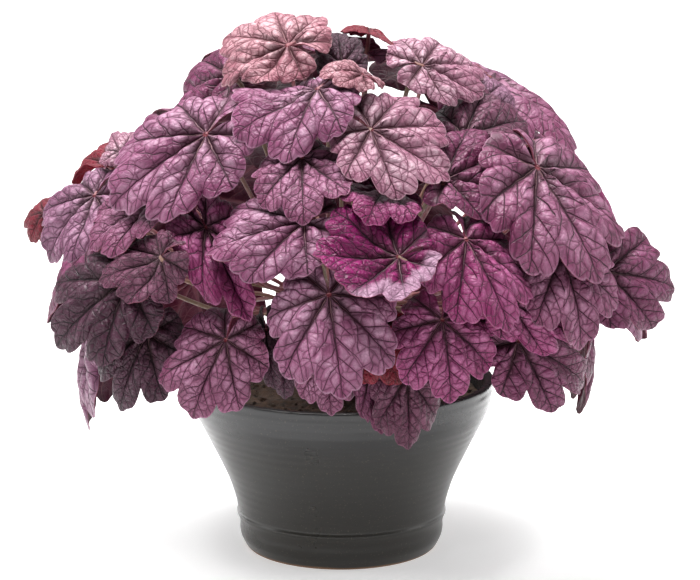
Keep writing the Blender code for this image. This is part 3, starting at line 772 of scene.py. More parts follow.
class LeafMaker:
    """Makes the fine mesh of each leaf: the blade's two faces and rim, and the stalk."""

    thickness = 0.0009
    edge_thickness = 0.00045
    stalk_radius = 0.0013
    stalk_bend = 0.105
    stalk_steps = 34
    stalk_sides = 10
    elbow_back = 0.10
    elbow_down = 0.16
    crown_share = 0.86
    fine_grid = (24, 34)
    plain_grid = (14, 22)
    relief = LeafRelief()

    def blade(self, sheet: MeshSheet, blade: Blade) -> None:
        """Adds the blade.

        Formula: the middle surface plus its relief, moved half the thickness each way along its own normal,
        with the thickness falling off to the margin.

        Args:
            sheet: The mesh.
            blade: The blade.
        """
        per_lobe, rows = self.fine_grid if blade.plan.fine else self.plain_grid
        angles = LOBES.columns(per_lobe)
        rho, theta = np.meshgrid(np.linspace(0.0, 1.0, rows + 1)[1:], angles, indexing="ij")
        shape = rho.shape
        middle = blade.points(rho.ravel(), theta.ravel()).reshape(*shape, 3)
        centre = blade.points(np.zeros(1), np.zeros(1))[0]
        whole = np.concatenate([np.broadcast_to(centre, (1, shape[1], 3)), middle])
        normal = unit(np.cross(np.gradient(whole, axis=0), np.gradient(whole, axis=1)))[1:]
        centre_normal = unit(normal[0].mean(axis=0))
        reach = rho * LOBES.outline(theta.ravel(), blade.plan.cut).reshape(shape)
        lobe = np.minimum(np.arange(shape[1]) // per_lobe, len(LOBES.middles) - 1)
        turn = np.radians(theta - np.array(LOBES.middles)[lobe])
        lift = self.relief.height(reach * np.cos(turn), reach * np.sin(turn), rho)
        lift = (lift + self.relief.hem(np.radians(theta), rho, blade.phases)) * blade.plan.size
        middle = middle + normal * lift[..., None]
        half = 0.5 * (self.thickness + (self.edge_thickness - self.thickness) * rho**3)[..., None]
        quads, maps = grid_faces(*shape, 0), self.corner_maps(reach, rho, angles, per_lobe)
        centre_reach = np.zeros((1, shape[1]))
        inner = (np.vstack([centre_reach, values[:1]]) for values in (reach, rho))
        fan = self.corner_maps(*inner, angles, per_lobe)
        tips, rings = [], []
        for side, slot in ((1.0, 0), (-1.0, 1)):
            first = sheet.add_points(middle + normal * half * side)
            tips.append(sheet.add_points((centre + centre_normal * half[0, 0] * side)[None]))
            rings.append(np.arange(shape[0] * shape[1]).reshape(shape) + first)
            order = slice(None) if side > 0 else slice(None, None, -1)
            sheet.add_faces((quads + first)[:, order], slot, maps[:, order])
            ring = rings[-1][0]
            round_joint = np.stack([np.full(len(ring) - 1, tips[-1]), ring[:-1], ring[1:]], axis=1)
            sheet.add_faces(round_joint[:, order], slot, fan[:, :3][:, order])
        self.add_rim(sheet, rings, tips)

    @staticmethod
    def corner_maps(reach: np.ndarray, rho: np.ndarray, angles: np.ndarray, per_lobe: int) -> np.ndarray:
        """The map values of every quad's corners.

        Args:
            reach: Distance from the joint at each grid point.
            rho: Share of the way to the margin there.
            angles: The columns' angles in degrees.
            per_lobe: Columns in each lobe.

        Returns:
            An array of quads by 4 corners by 6.
        """
        count = len(angles) - 1
        middles = np.radians(np.array(LOBES.middles))[np.arange(count) // per_lobe]
        turn = np.radians(angles)
        corners = []
        for down, ahead in ((0, 0), (1, 0), (1, 1), (0, 1)):
            r = reach[down : len(reach) - 1 + down, ahead : count + ahead]
            share = rho[down : len(reach) - 1 + down, ahead : count + ahead]
            t = turn[ahead : count + ahead] + np.zeros_like(r)
            aside = t - middles
            values = (r * np.cos(t), r * np.sin(t), r * np.cos(aside), r * np.sin(aside), share, t)
            corners.append(np.stack(values, axis=-1))
        return np.stack(corners, axis=2).reshape(-1, 4, 6)

    @staticmethod
    def add_rim(sheet: MeshSheet, rings: list[np.ndarray], poles: list[int]) -> None:
        """Joins the blade's faces along the margin and both sides of the sinus.

        Args:
            sheet: The mesh.
            rings: The upper and the lower face's point numbers.
            poles: Their joints' point numbers.
        """
        upper, lower = (
            np.concatenate([[pole], ring[:, 0], ring[-1, 1:], ring[-2::-1, -1], [pole]])
            for ring, pole in zip(rings, poles)
        )
        sheet.add_faces(np.stack([upper[:-1], lower[:-1], lower[1:], upper[1:]], axis=1), 1)

    def stalk_knots(self, blade: Blade) -> np.ndarray:
        """The stalk's line: out of the crown in an arch, to an elbow by the sinus, and up to the joint."""
        size = blade.plan.size
        top = blade.points(np.zeros(1), np.zeros(1))[0] - blade.normal * self.thickness * 0.3
        elbow = top - blade.tip * self.elbow_back * size - blade.normal * self.elbow_down * size
        azimuth, elevation = bearing(elbow - HEART)
        azimuth, elevation = azimuth + blade.plan.sway[0], elevation + blade.plan.sway[1]
        start_elevation = float(np.interp(elevation, (-30.0, 50.0, 90.0), (16.0, 65.0, 77.0)))
        start = CROWN_RADIUS * self.crown_share
        line = [HEART + heading(azimuth, start_elevation) * start]
        for share in (0.45, 1.0):
            rise = start_elevation + (elevation - start_elevation) * (3 * share**2 - 2 * share**3)
            line.append(HEART + heading(azimuth, rise) * (start + (self.stalk_bend - start) * share))
        return np.array([*line, elbow, top])

    def stalk(self, sheet: MeshSheet, blade: Blade) -> None:
        """Adds the stalk, a tube that swells at the crown and a little at the joint.

        Args:
            sheet: The mesh.
            blade: The blade it carries.
        """
        path = smooth_path(self.stalk_knots(blade), self.stalk_steps)
        share = np.linspace(0.0, 1.0, len(path))
        radii = self.stalk_radius * (0.95 + 0.9 * np.exp(-((share / 0.09) ** 2)) + 0.25 * share**8)
        carry_tube(sheet, path, radii, self.stalk_sides, 2)

    def make(self, blade: Blade) -> bpy.types.Object:
        """Makes one leaf.

        Args:
            blade: The blade, laid in its place.

        Returns:
            The leaf's object, with empty material slots.
        """
        sheet = MeshSheet()
        self.blade(sheet, blade)
        self.stalk(sheet, blade)
        return sheet.build(blade.plan.name + "_leaf", with_maps=True)


class Signal:
    """A shader socket, or a plain number, that adds and multiplies as numbers do."""

    def __init__(self, tree: bpy.types.NodeTree, value: "bpy.types.NodeSocket | float") -> None:
        """Wraps a socket or a number of a node tree."""
        self.tree, self.value = tree, value

    def math(self, operation: str, *others: "Signal | float") -> "Signal":
        """Adds a Math node.

        Args:
            operation: The node's operation.
            others: The further inputs.

        Returns:
            The node's output.
        """
        node = self.tree.nodes.new("ShaderNodeMath")
        node.operation = operation
        for socket, value in zip(node.inputs, (self, *others)):
            value = value.value if isinstance(value, Signal) else value
            if isinstance(value, bpy.types.NodeSocket):
                self.tree.links.new(value, socket)
            else:
                socket.default_value = value
        return Signal(self.tree, node.outputs[0])

    def __add__(self, other: "Signal | float") -> "Signal":
        """Adds."""
        return self.math("ADD", other)

    __radd__ = __add__

    def __mul__(self, other: "Signal | float") -> "Signal":
        """Multiplies."""
        return self.math("MULTIPLY", other)

    __rmul__ = __mul__

    def __sub__(self, other: "Signal | float") -> "Signal":
        """Subtracts."""
        return self.math("SUBTRACT", other)

    def __rsub__(self, other: float) -> "Signal":
        """Subtracts this from a number."""
        return Signal(self.tree, other).math("SUBTRACT", self)

    def __truediv__(self, other: "Signal | float") -> "Signal":
        """Divides."""
        return self.math("DIVIDE", other)

    def __abs__(self) -> "Signal":
        """The size without its sign."""
        return self.math("ABSOLUTE")

    def above(self, other: "Signal | float") -> "Signal":
        """1 where this is greater, else 0."""
        return self.math("GREATER_THAN", other)

    def most(self, other: "Signal | float") -> "Signal":
        """The greater of the two."""
        return self.math("MAXIMUM", other)

    def fraction(self) -> "Signal":
        """What is left over a whole number."""
        return self.math("FRACT")


Colour = tuple[float, float, float]


def screen_colour(values: tuple[int, int, int], gain: float = 1.0) -> Colour:
    """A colour given in 8-bit screen values, in linear light.

    Args:
        values: Red, green and blue from 0 to 255.
        gain: A factor on the result.

    Returns:
        The linear colour.
    """
    share = np.array(values) / 255.0
    linear = np.where(share <= 0.04045, share / 12.92, ((share + 0.055) / 1.055) ** 2.4)
    return tuple(float(v) for v in linear * gain)


class Bench:
    """A material under way: its node tree, with one method for any node."""

    def __init__(self, name: str) -> None:
        """Starts a material with a Principled shader."""
        self.material = bpy.data.materials.new(name)
        self.material.use_nodes = True
        self.tree = self.material.node_tree
        self.shader = self.tree.nodes["Principled BSDF"]

    def node(self, kind: str, settings: dict | None = None, **values: object) -> bpy.types.Node:
        """Adds a node.

        Args:
            kind: The node's type, without its ShaderNode prefix.
            settings: Properties to set first; stops is a ramp's list of (place, colour).
            values: For each input, by its name with spaces as _ or by its number after an underscore, a
                number, a colour, a signal or a socket.

        Returns:
            The node.
        """
        node = self.tree.nodes.new("ShaderNode" + kind)
        for key, value in (settings or {}).items():
            if key == "stops":
                self.set_stops(node.color_ramp, value)
            else:
                setattr(node, key, value)
        for key, value in values.items():
            socket = node.inputs[int(key[1:])] if key[0] == "_" else node.inputs[key.replace("_", " ")]
            self.feed(socket, value)
        return node

    @staticmethod
    def set_stops(ramp: bpy.types.ColorRamp, stops: list[tuple[float, Colour]]) -> None:
        """Sets a ramp's stops."""
        while len(ramp.elements) < len(stops):
            ramp.elements.new(1.0)
        for element, (place, colour) in zip(ramp.elements, stops):
            element.position = place
            element.color = (*colour, 1.0)

    def feed(self, socket: bpy.types.NodeSocket, value: object) -> None:
        """Sets a socket's value, or links a signal or a socket to it."""
        value = value.value if isinstance(value, Signal) else value
        if isinstance(value, bpy.types.NodeSocket):
            self.tree.links.new(value, socket)
        elif isinstance(value, tuple) and len(value) == 3 and socket.type == "RGBA":
            socket.default_value = (*value, 1.0)
        else:
            socket.default_value = value

    def signal(self, socket: bpy.types.NodeSocket) -> Signal:
        """Wraps a socket."""
        return Signal(self.tree, socket)

    def mix(
        self, factor: object, first: object, second: object, blend: str = "MIX",
    ) -> bpy.types.NodeSocket:
        """Mixes two colours.

        Args:
            factor: How much of the second.
            first: A colour or socket.
            second: A colour or socket.
            blend: The blend type.

        Returns:
            The mixed colour's socket.
        """
        node = self.node("Mix", {"data_type": "RGBA", "blend_type": blend, "clamp_factor": True})
        for index, value in ((0, factor), (6, first), (7, second)):
            self.feed(node.inputs[index], value)
        return node.outputs[2]

    def ramp(self, value: object, low: float, high: float, start: float = 0.0, end: float = 1.0) -> Signal:
        """A smooth step from start to end as value goes from low to high."""
        node = self.node("MapRange", {"interpolation_type": "SMOOTHSTEP"})
        for index, number in enumerate((value, low, high, start, end)):
            self.feed(node.inputs[index], number)
        return self.signal(node.outputs[0])

    def noise(self, vector: object, scale: float, detail: float = 2.0, roughness: float = 0.5) -> Signal:
        """Noise from 0 to 1."""
        node = self.node("TexNoise", Vector=vector, Scale=scale, Detail=detail, Roughness=roughness)
        return self.signal(node.outputs["Fac"])

    def cell_edge(self, vector: object, scale: float) -> Signal:
        """The distance to the nearest edge of a net of cells."""
        settings = {"feature": "DISTANCE_TO_EDGE"}
        node = self.node("TexVoronoi", settings, Vector=vector, Scale=scale, Randomness=0.9)
        return self.signal(node.outputs["Distance"])

    def object_place(self) -> bpy.types.NodeSocket:
        """The object coordinates."""
        return self.node("TexCoord").outputs["Object"]

    def map(self, name: str) -> bpy.types.NodeSocket:
        """One of the piece's own UV maps."""
        return self.node("UVMap", {"uv_map": name}).outputs["UV"]

    def parts(self, vector: object) -> tuple[Signal, Signal, Signal]:
        """A vector's three numbers."""
        node = self.node("SeparateXYZ", _0=vector)
        return tuple(self.signal(socket) for socket in node.outputs)

    def finish(self, **values: object) -> bpy.types.Material:
        """Sets the shader's inputs, by name with spaces as _, and returns the material."""
        for key, value in values.items():
            self.feed(self.shader.inputs[key.replace("_", " ")], value)
        return self.material

    def bump(self, height: object, strength: float, distance: float) -> bpy.types.NodeSocket:
        """A Bump node's normal."""
        return self.node("Bump", Strength=strength, Distance=distance, Height=height).outputs["Normal"]


@dataclass(frozen=True)
class VeinSheet:
    """The signals that a blade's finish is made of."""

    along: Signal
    away: Signal
    veins: Signal
    shade: Signal
    blister: Signal


@dataclass(frozen=True)
class VeinNet:
    """The net of veins on a blade, in shares of its size."""

    main_width: float = 0.017
    side_width: float = 0.0060
    spacing: float = 0.17
    slant: float = 1.05
    wander: float = 0.07
    warp: float = 0.12
    cells: float = 8.5
    fine_cells: float = 23.0

    def draw(self, bench: Bench) -> VeinSheet:
        """Adds the net's nodes.

        Args:
            bench: The material.

        Returns:
            The distances along and from the lobe's vein, the veins' mask, the shade beside them, and the
            height of the blisters between them.
        """
        plan, lobe = bench.map("plan"), bench.map("lobe")
        straight, across, _ = bench.parts(lobe)
        drift, drift_two = bench.noise(plan, 4.0, 2.0), bench.noise(plan, 8.0, 2.0)
        along = straight + (drift - 0.5) * self.wander * 1.6
        away = abs(across + (drift_two - 0.5) * self.wander * 0.5)
        width = (1.0 - straight * 0.75) * self.main_width
        main = bench.ramp(away / width.most(0.0035), 0.4, 1.2, 1.0, 0.0)
        phase = (along - away * self.slant) / self.spacing + across.above(0.0) * 0.5
        gap = (0.5 - abs(phase.fraction() - 0.5)) * (self.spacing * 0.69)
        thin = 1.0 - bench.ramp(away, 0.02, 0.30) * 0.55
        side = bench.ramp(gap / thin, self.side_width * 0.3, self.side_width * 1.5, 0.95, 0.0)
        side = side * bench.ramp(straight, 0.07, 0.14)
        warp = bench.node("TexNoise", Vector=plan, Scale=4.0, Detail=1.0).outputs["Color"]
        bend = (self.warp, self.warp, 0.0)
        bent = bench.node("VectorMath", {"operation": "MULTIPLY_ADD"}, _0=warp, _1=bend, _2=plan)
        cells, fine = (bench.cell_edge(bent.outputs[0], scale) for scale in (self.cells, self.fine_cells))
        net = bench.ramp(cells, 0.006, 0.056, 0.52, 0.0)
        fine_net = bench.ramp(fine, 0.0, 0.09, 0.17, 0.0)
        veins = main.most(side).most(net).most(fine_net)
        shade = bench.ramp(away, 0.0, 0.055, 0.85, 0.0).most(bench.ramp(gap, 0.0, 0.034, 0.7, 0.0))
        shade = shade.most(bench.ramp(cells, 0.0, 0.24, 0.65, 0.0))
        blister = bench.ramp(cells, 0.0, 0.32) * 0.65 + bench.ramp(fine, 0.0, 0.4) * 0.35
        return VeinSheet(straight, away, veins, shade, blister)


@dataclass(frozen=True)
class LeafFinish:
    """A blade's upper face: dark veins, a base colour beside them, a pale film on the blisters and painted
    highlights.
    """

    tone: Tone
    gain: float = 0.54
    gloss: float = 0.26
    net: VeinNet = VeinNet()
    dusk: tuple[int, int, int] = (112, 88, 92)
    spot: tuple[int, int, int] = (150, 48, 62)
    ridge: tuple[int, int, int] = (196, 146, 150)
    # the colour of the painted highlight on a turned-up margin
    lip: tuple[int, int, int] = (208, 160, 190)

    def make(self) -> bpy.types.Material:
        """Makes the material."""
        bench = Bench(f"leaf {self.tone.name.lower()}")
        palette = self.tone.value
        pale, base, vein = (screen_colour(c, self.gain) for c in (palette.pale, palette.base, palette.vein))
        dusk, spot, ridge_pale, lip_highlight = (
            screen_colour(c, self.gain) for c in (self.dusk, self.spot, self.ridge, self.lip)
        )
        net = self.net.draw(bench)
        plan = bench.map("plan")
        rho = bench.parts(bench.map("hem"))[0]
        x, y, _ = bench.parts(plan)
        reach = (x * x + y * y).math("SQRT")
        patch = bench.ramp(bench.noise(bench.object_place(), 38.0, 3.0, 0.6), 0.34, 0.60, 0.35, 1.0)
        film = (1.0 - net.shade) * patch * palette.silver
        film = film * bench.ramp(rho, 0.72, 0.98, 1.0, palette.hem)
        # partly the film's own pattern, partly a painted highlight: the film grows paler on the blisters'
        # tops
        film = (film + net.blister * 0.20 * patch).math("MINIMUM", 1.0)
        colour = bench.mix(film, base, pale)
        flank = bench.ramp(net.away / (0.115 - net.along * 0.10).most(0.02), 0.2, 1.0, 1.0, 0.0)
        flank = flank * bench.ramp(net.along, 0.10, 0.75, 0.62, 0.0)
        colour = bench.mix(flank * bench.ramp(patch, 0.35, 1.0, 0.5, 1.0), colour, dusk)
        colour = bench.mix(net.veins, colour, vein)
        ridge = bench.ramp(net.away, 0.0012, 0.0042, 0.7, 0.0) * bench.ramp(net.along, 0.05, 0.42, 1.0, 0.0)
        colour = bench.mix(ridge, colour, ridge_pale)
        colour = bench.mix(bench.ramp(reach, 0.012, 0.042, 0.85, 0.0), colour, spot)
        # painted highlight: a thin pale line along the margin, where the edge catches the light
        colour = bench.mix(bench.ramp(rho, 0.978, 0.992, 0.0, 0.45), colour, pale)
        # painted highlight: a pale band where the margin turns up and catches the light
        if palette.lip:
            lip = bench.ramp(rho, 0.58, 0.72, 0.0, palette.lip) * bench.ramp(y - x * 0.5, 0.16, 0.34)
            colour = bench.mix(lip * (1.0 - net.veins * 0.5), colour, lip_highlight)
        mottle = bench.noise(bench.object_place(), 75.0, 2.0)
        colour = bench.mix(0.4, colour, bench.ramp(mottle, 0.25, 0.75, 0.5, 1.0).value, "MULTIPLY")
        rough = bench.ramp(net.veins, 0.0, 1.0, 0.40, 0.60)
        height = net.blister * 0.6 - net.veins * 0.7 + bench.noise(plan, 60.0, 2.0) * 0.12
        normal = bench.bump(height, 0.7, 0.0014)
        return bench.finish(Base_Color=colour, Roughness=rough, Normal=normal, Specular_IOR_Level=self.gloss)


@dataclass(frozen=True)
class UndersideFinish:
    """A blade's lower face: wine red, with its veins raised and paler."""

    tone: Tone
    gain: float = 0.54
    gloss: float = 0.26
    net: VeinNet = VeinNet(main_width=0.024)

    def make(self) -> bpy.types.Material:
        """Makes the material."""
        bench = Bench(f"underside {self.tone.name.lower()}")
        base = screen_colour(self.tone.value.below, self.gain)
        net = self.net.draw(bench)
        rib = screen_colour((168, 92, 108), self.gain)
        dark = tuple(0.65 * value for value in base)
        colour = bench.mix(net.shade * 0.5, base, dark)
        colour = bench.mix(net.veins * 0.5, colour, rib)
        height = net.veins * 0.8 - net.blister * 0.4
        normal = bench.bump(height, 0.5, 0.001)
        return bench.finish(Base_Color=colour, Roughness=0.5, Normal=normal, Specular_IOR_Level=self.gloss)


@dataclass(frozen=True)
class StalkFinish:
    """A stalk: red-brown, green-brown in places, softly hairy."""

    gain: float = 0.7

    def make(self) -> bpy.types.Material:
        """Makes the material."""
        bench = Bench("stalk")
        place = bench.object_place()
        streak = bench.noise(place, 120.0, 3.0)
        red, green, hair = (
            screen_colour(c, self.gain) for c in ((138, 66, 76), (128, 104, 78), (196, 160, 158))
        )
        colour = bench.mix(bench.ramp(bench.noise(place, 22.0, 2.0), 0.42, 0.68), red, green)
        colour = bench.mix(bench.ramp(streak, 0.5, 0.75, 0.0, 0.5), colour, hair)
        return bench.finish(
            Base_Color=colour, Roughness=0.55, Normal=bench.bump(streak, 0.35, 0.0004), Sheen_Weight=0.25,
            Sheen_Roughness=0.4,
        )


@dataclass(frozen=True)
class GlazeFinish:
    """The pot's glaze: charcoal, a little browner at the foot, bluer at the rim as a painted reflection,
    with faint rings and bare clay below.
    """

    gain: float = 0.45

    def make(self) -> bpy.types.Material:
        """Makes the material."""
        bench = Bench("charcoal glaze")
        place = bench.object_place()
        x, y, z = bench.parts(place)
        cloud = bench.noise(place, 14.0, 4.0, 0.6)
        height = z + (cloud - 0.5) * 0.02
        low, middle, high = (screen_colour(c, self.gain) for c in ((52, 48, 40), (54, 52, 48), (54, 54, 56)))
        colour = bench.mix(bench.ramp(height, 0.010, 0.060), low, middle)
        # painted reflection: a little bluer towards the rim, standing in for the light above reflected in
        # the glaze
        colour = bench.mix(bench.ramp(height, 0.066, 0.098), colour, high)
        colour = bench.mix(bench.ramp(cloud, 0.35, 0.75, 0.0, 0.35), colour, screen_colour((38, 37, 35)))
        speck = bench.ramp(bench.noise(place, 900.0, 1.0), 0.66, 0.74)
        colour = bench.mix(speck * 0.35, colour, screen_colour((96, 88, 74)))
        round_place = (x * x + y * y).math("SQRT")
        bare = bench.ramp(z + (cloud - 0.5) * 0.004, 0.0006, 0.0022, 1.0, 0.0)
        under = 1.0 - bench.ramp(round_place, 0.0560, 0.0585)
        bare = bare.most(under * bench.ramp(z, 0.004, 0.006, 1.0, 0.0))
        colour = bench.mix(bare, colour, screen_colour((128, 96, 70)))
        rough = bench.ramp(cloud, 0.3, 0.7, 0.26, 0.36) + bare * 0.5
        wave = bench.node(
            "TexWave", {"wave_type": "BANDS", "bands_direction": "Z"}, Vector=place, Scale=70.0,
            Distortion=2.5, Detail=2.0, Detail_Scale=1.5,
        )
        grain = bench.signal(wave.outputs["Fac"]) * 0.5 + bench.noise(place, 400.0, 2.0) * 0.3
        return bench.finish(
            Base_Color=colour, Roughness=rough, Normal=bench.bump(grain, 0.08, 0.0004),
            Specular_IOR_Level=0.38, Coat_Weight=0.10, Coat_Roughness=0.15,
        )


@dataclass(frozen=True)
class SoilFinish:
    """Moist potting soil: nearly black, with brown fibres and pale grit."""

    def make(self) -> bpy.types.Material:
        """Makes the material."""
        bench = Bench("potting soil")
        place = bench.object_place()
        clod, grit = bench.noise(place, 180.0, 6.0, 0.7), bench.noise(place, 700.0, 2.0)
        black, brown, pale = (screen_colour(c) for c in ((22, 15, 11), (70, 50, 36), (150, 132, 108)))
        colour = bench.mix(bench.ramp(clod, 0.3, 0.7), black, brown)
        colour = bench.mix(bench.ramp(grit, 0.68, 0.76, 0.0, 0.6), colour, pale)
        normal = bench.bump(clod + grit * 0.4, 0.9, 0.002)
        return bench.finish(Base_Color=colour, Roughness=0.92, Normal=normal)


@dataclass(frozen=True)
class CrownFinish:
    """The woody crown: brown bark with darker cracks and papery scales."""

    def make(self) -> bpy.types.Material:
        """Makes the material."""
        bench = Bench("crown bark")
        place = bench.object_place()
        bark, crack = bench.noise(place, 160.0, 5.0, 0.65), bench.cell_edge(place, 240.0)
        dark, brown, split = (screen_colour(c) for c in ((52, 32, 24), (120, 84, 62), (26, 16, 12)))
        colour = bench.mix(bench.ramp(bark, 0.3, 0.7), dark, brown)
        colour = bench.mix(bench.ramp(crack, 0.0, 0.1, 0.7, 0.0), colour, split)
        normal = bench.bump(bark + bench.ramp(crack, 0.0, 0.2) * 0.5, 0.8, 0.0015)
        return bench.finish(Base_Color=colour, Roughness=0.8, Normal=normal)


def give(piece: bpy.types.Object, slot: str, *materials: bpy.types.Material, stands_for: str = "") -> None:
    """Puts a piece on the plant's body and gives it its finishes.

    Args:
        piece: The piece.
        slot: The record's material slot; not used.
        materials: The finishes, one for each of the mesh's slots.
        stands_for: The solid that it replaces, if any.
    """
    for material in materials:
        piece.data.materials.append(material)
    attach(piece, BODY)
    if stands_for:
        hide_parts(stands_for)
    LOG.info("%s: %d faces", piece.name, len(piece.data.polygons))


@dataclass
class Foliage:
    """All the leaves, laid over each other from the rim upwards."""

    view: View
    maker: LeafMaker = field(default_factory=LeafMaker)

    def front(self) -> list[Blade]:
        """The blades that the photograph shows."""
        blades = []
        for plan in FRONT:
            joint = self.view.on_sphere(plan.joint, plan.reach, plan.far)
            azimuth, elevation = bearing(joint - HEART)
            normal = heading(azimuth + plan.face[0], elevation + plan.face[1])
            clock = math.radians(plan.tip)
            drawn = self.view.right * math.sin(clock) + self.view.up * math.cos(clock)
            sight = unit(self.view.eye - joint)
            blades.append(Blade(plan, joint, normal, drawn - sight * (drawn @ normal) / (sight @ normal)))
        return blades

    def back(self) -> list[Blade]:
        """The blades behind, in rows, tips down the mound."""
        rng = np.random.default_rng(BACK_SEED)
        blades = []
        for row, (count, elevation, first, last, reach, size) in enumerate(BACK_ROWS):
            for place, azimuth in enumerate(np.linspace(first, last, count)):
                azimuth = azimuth + rng.uniform(-5.0, 5.0)
                lift = elevation + rng.uniform(-3.0, 3.0)
                out = heading(azimuth, lift)
                grown = size * rng.uniform(0.9, 1.08)
                cut, cup, fold = rng.uniform(0.12, 0.20), rng.uniform(0.25, 0.45), rng.uniform(-8.0, 16.0)
                tone = BACK_TONES[(row + place) % len(BACK_TONES)]
                plan = LeafPlan(
                    f"back_{row + 1}_{place + 1}", (0, 0), reach, (azimuth, lift + 10.0), 180.0, grown, tone,
                    wide=BACK_WIDE, cut=cut, cup=cup, fold=fold,
                )
                aside = np.cross(out, (0.0, 0.0, 1.0)) * math.sin(math.radians(rng.uniform(-35.0, 35.0)))
                tip = aside - np.array([0.0, 0.0, 1.0])
                blades.append(Blade(plan, HEART + out * reach, heading(*plan.face), tip))
        return blades

    def build(self, pot: "Pot") -> None:
        """Lays, makes and dresses every leaf.

        Args:
            pot: The pot, which the lowest leaves hang over.
        """
        canopy = Canopy()
        canopy.stamp(pot.surface_points())
        tops = {tone: LeafFinish(tone).make() for tone in Tone}
        undersides = {tone: UndersideFinish(tone).make() for tone in Tone}
        stalk = StalkFinish().make()
        slots = {item["node"]: item["material_slot"] for item in frame["record"]["subparts"]}
        for blade in [*self.back(), *self.front()]:
            canopy.lay(blade)
            leaf = self.maker.make(blade)
            tone, node = blade.plan.tone, "leaf_" + blade.plan.name
            give(leaf, slots[node], tops[tone], undersides[tone], stalk, stands_for=node)


@dataclass
class Pot:
    """The glazed pot, turned about its axis.

    outer is its outer side as (radius, height), top to bottom.
    """

    outer: tuple[tuple[float, float], ...] = (
        (0.0945, 0.1060), (0.0940, 0.0985), (0.0918, 0.0885), (0.0870, 0.0786), (0.0796, 0.0638),
        (0.0710, 0.0457), (0.0664, 0.0320), (0.0650, 0.0245), (0.0655, 0.0215), (0.0638, 0.0165),
        (0.0634, 0.0085), (0.0605, 0.0018), (0.0590, 0.0),
    )
    wall: float = 0.005
    floor: float = 0.010
    lip: float = 0.0012
    ring: float = 0.00009
    ring_pitch: float = 0.0052
    sides: int = 256

    def surface_points(self) -> np.ndarray:
        """Points of the outer side, for the canopy's map."""
        radii, heights = (np.array(column) for column in zip(*self.outer))
        height = np.repeat(np.linspace(0.02, heights[0] + 0.002, 60), 720)
        around = np.tile(np.linspace(0.0, 2.0 * math.pi, 720), 60)
        radius = np.interp(height, heights[::-1], radii[::-1]) + 0.001
        return turned(radius, around, height)

    def profile(self) -> np.ndarray:
        """The pot's whole section, from the inside of the floor over the rim to the middle of the foot.

        Formula: a smooth spline through the outer side with low throwing rings on it, a half-round lip, and
        the inner side a wall's thickness in.
        """
        outside = smooth_path(np.array(self.outer), 150)
        rings = np.sin(2.0 * math.pi * outside[:, 1] / self.ring_pitch)
        rings = rings * (0.6 + 0.4 * lumps(outside[:, 1] / 0.011, np.zeros(150), 5))
        outside[:, 0] += self.ring * rings * smoothstep(0.0, 0.012, outside[:, 1]) - self.ring
        turn = np.linspace(0.0, math.pi, 13)[1:-1]
        middle, half = outside[0, 0] - self.wall / 2, self.wall / 2
        lip = np.stack([middle - half * np.cos(turn), outside[0, 1] + self.lip * np.sin(turn)], axis=1)
        inner = outside[outside[:, 1] > self.floor + 0.004][::-3] - np.array([self.wall, 0.0])
        corner = inner[0, 0]
        base = [[0.0005, self.floor], [corner - 0.004, self.floor], [corner - 0.001, self.floor + 0.0015]]
        under = [[0.056, 0.0], [0.052, 0.0003], [0.050, 0.0014], [0.045, 0.0016], [0.0005, 0.0016]]
        return np.vstack([base, inner, lip, outside, under])

    def build(self) -> None:
        """Makes and dresses the pot."""
        profile = self.profile()
        around = np.linspace(0.0, 2.0 * math.pi, self.sides, endpoint=False)
        wobble = 1.0 + 0.0008 * np.sin(around * 3.0 + 0.7)
        poles = [np.array([0.0, 0.0, profile[row, 1]]) for row in (0, -1)]
        sheet = MeshSheet()
        add_round(sheet, turned(profile[:, :1] * wobble, around, profile[:, 1:]), poles)
        give(sheet.build("glazed_pot"), "glaze", GlazeFinish().make(), stands_for="pot")


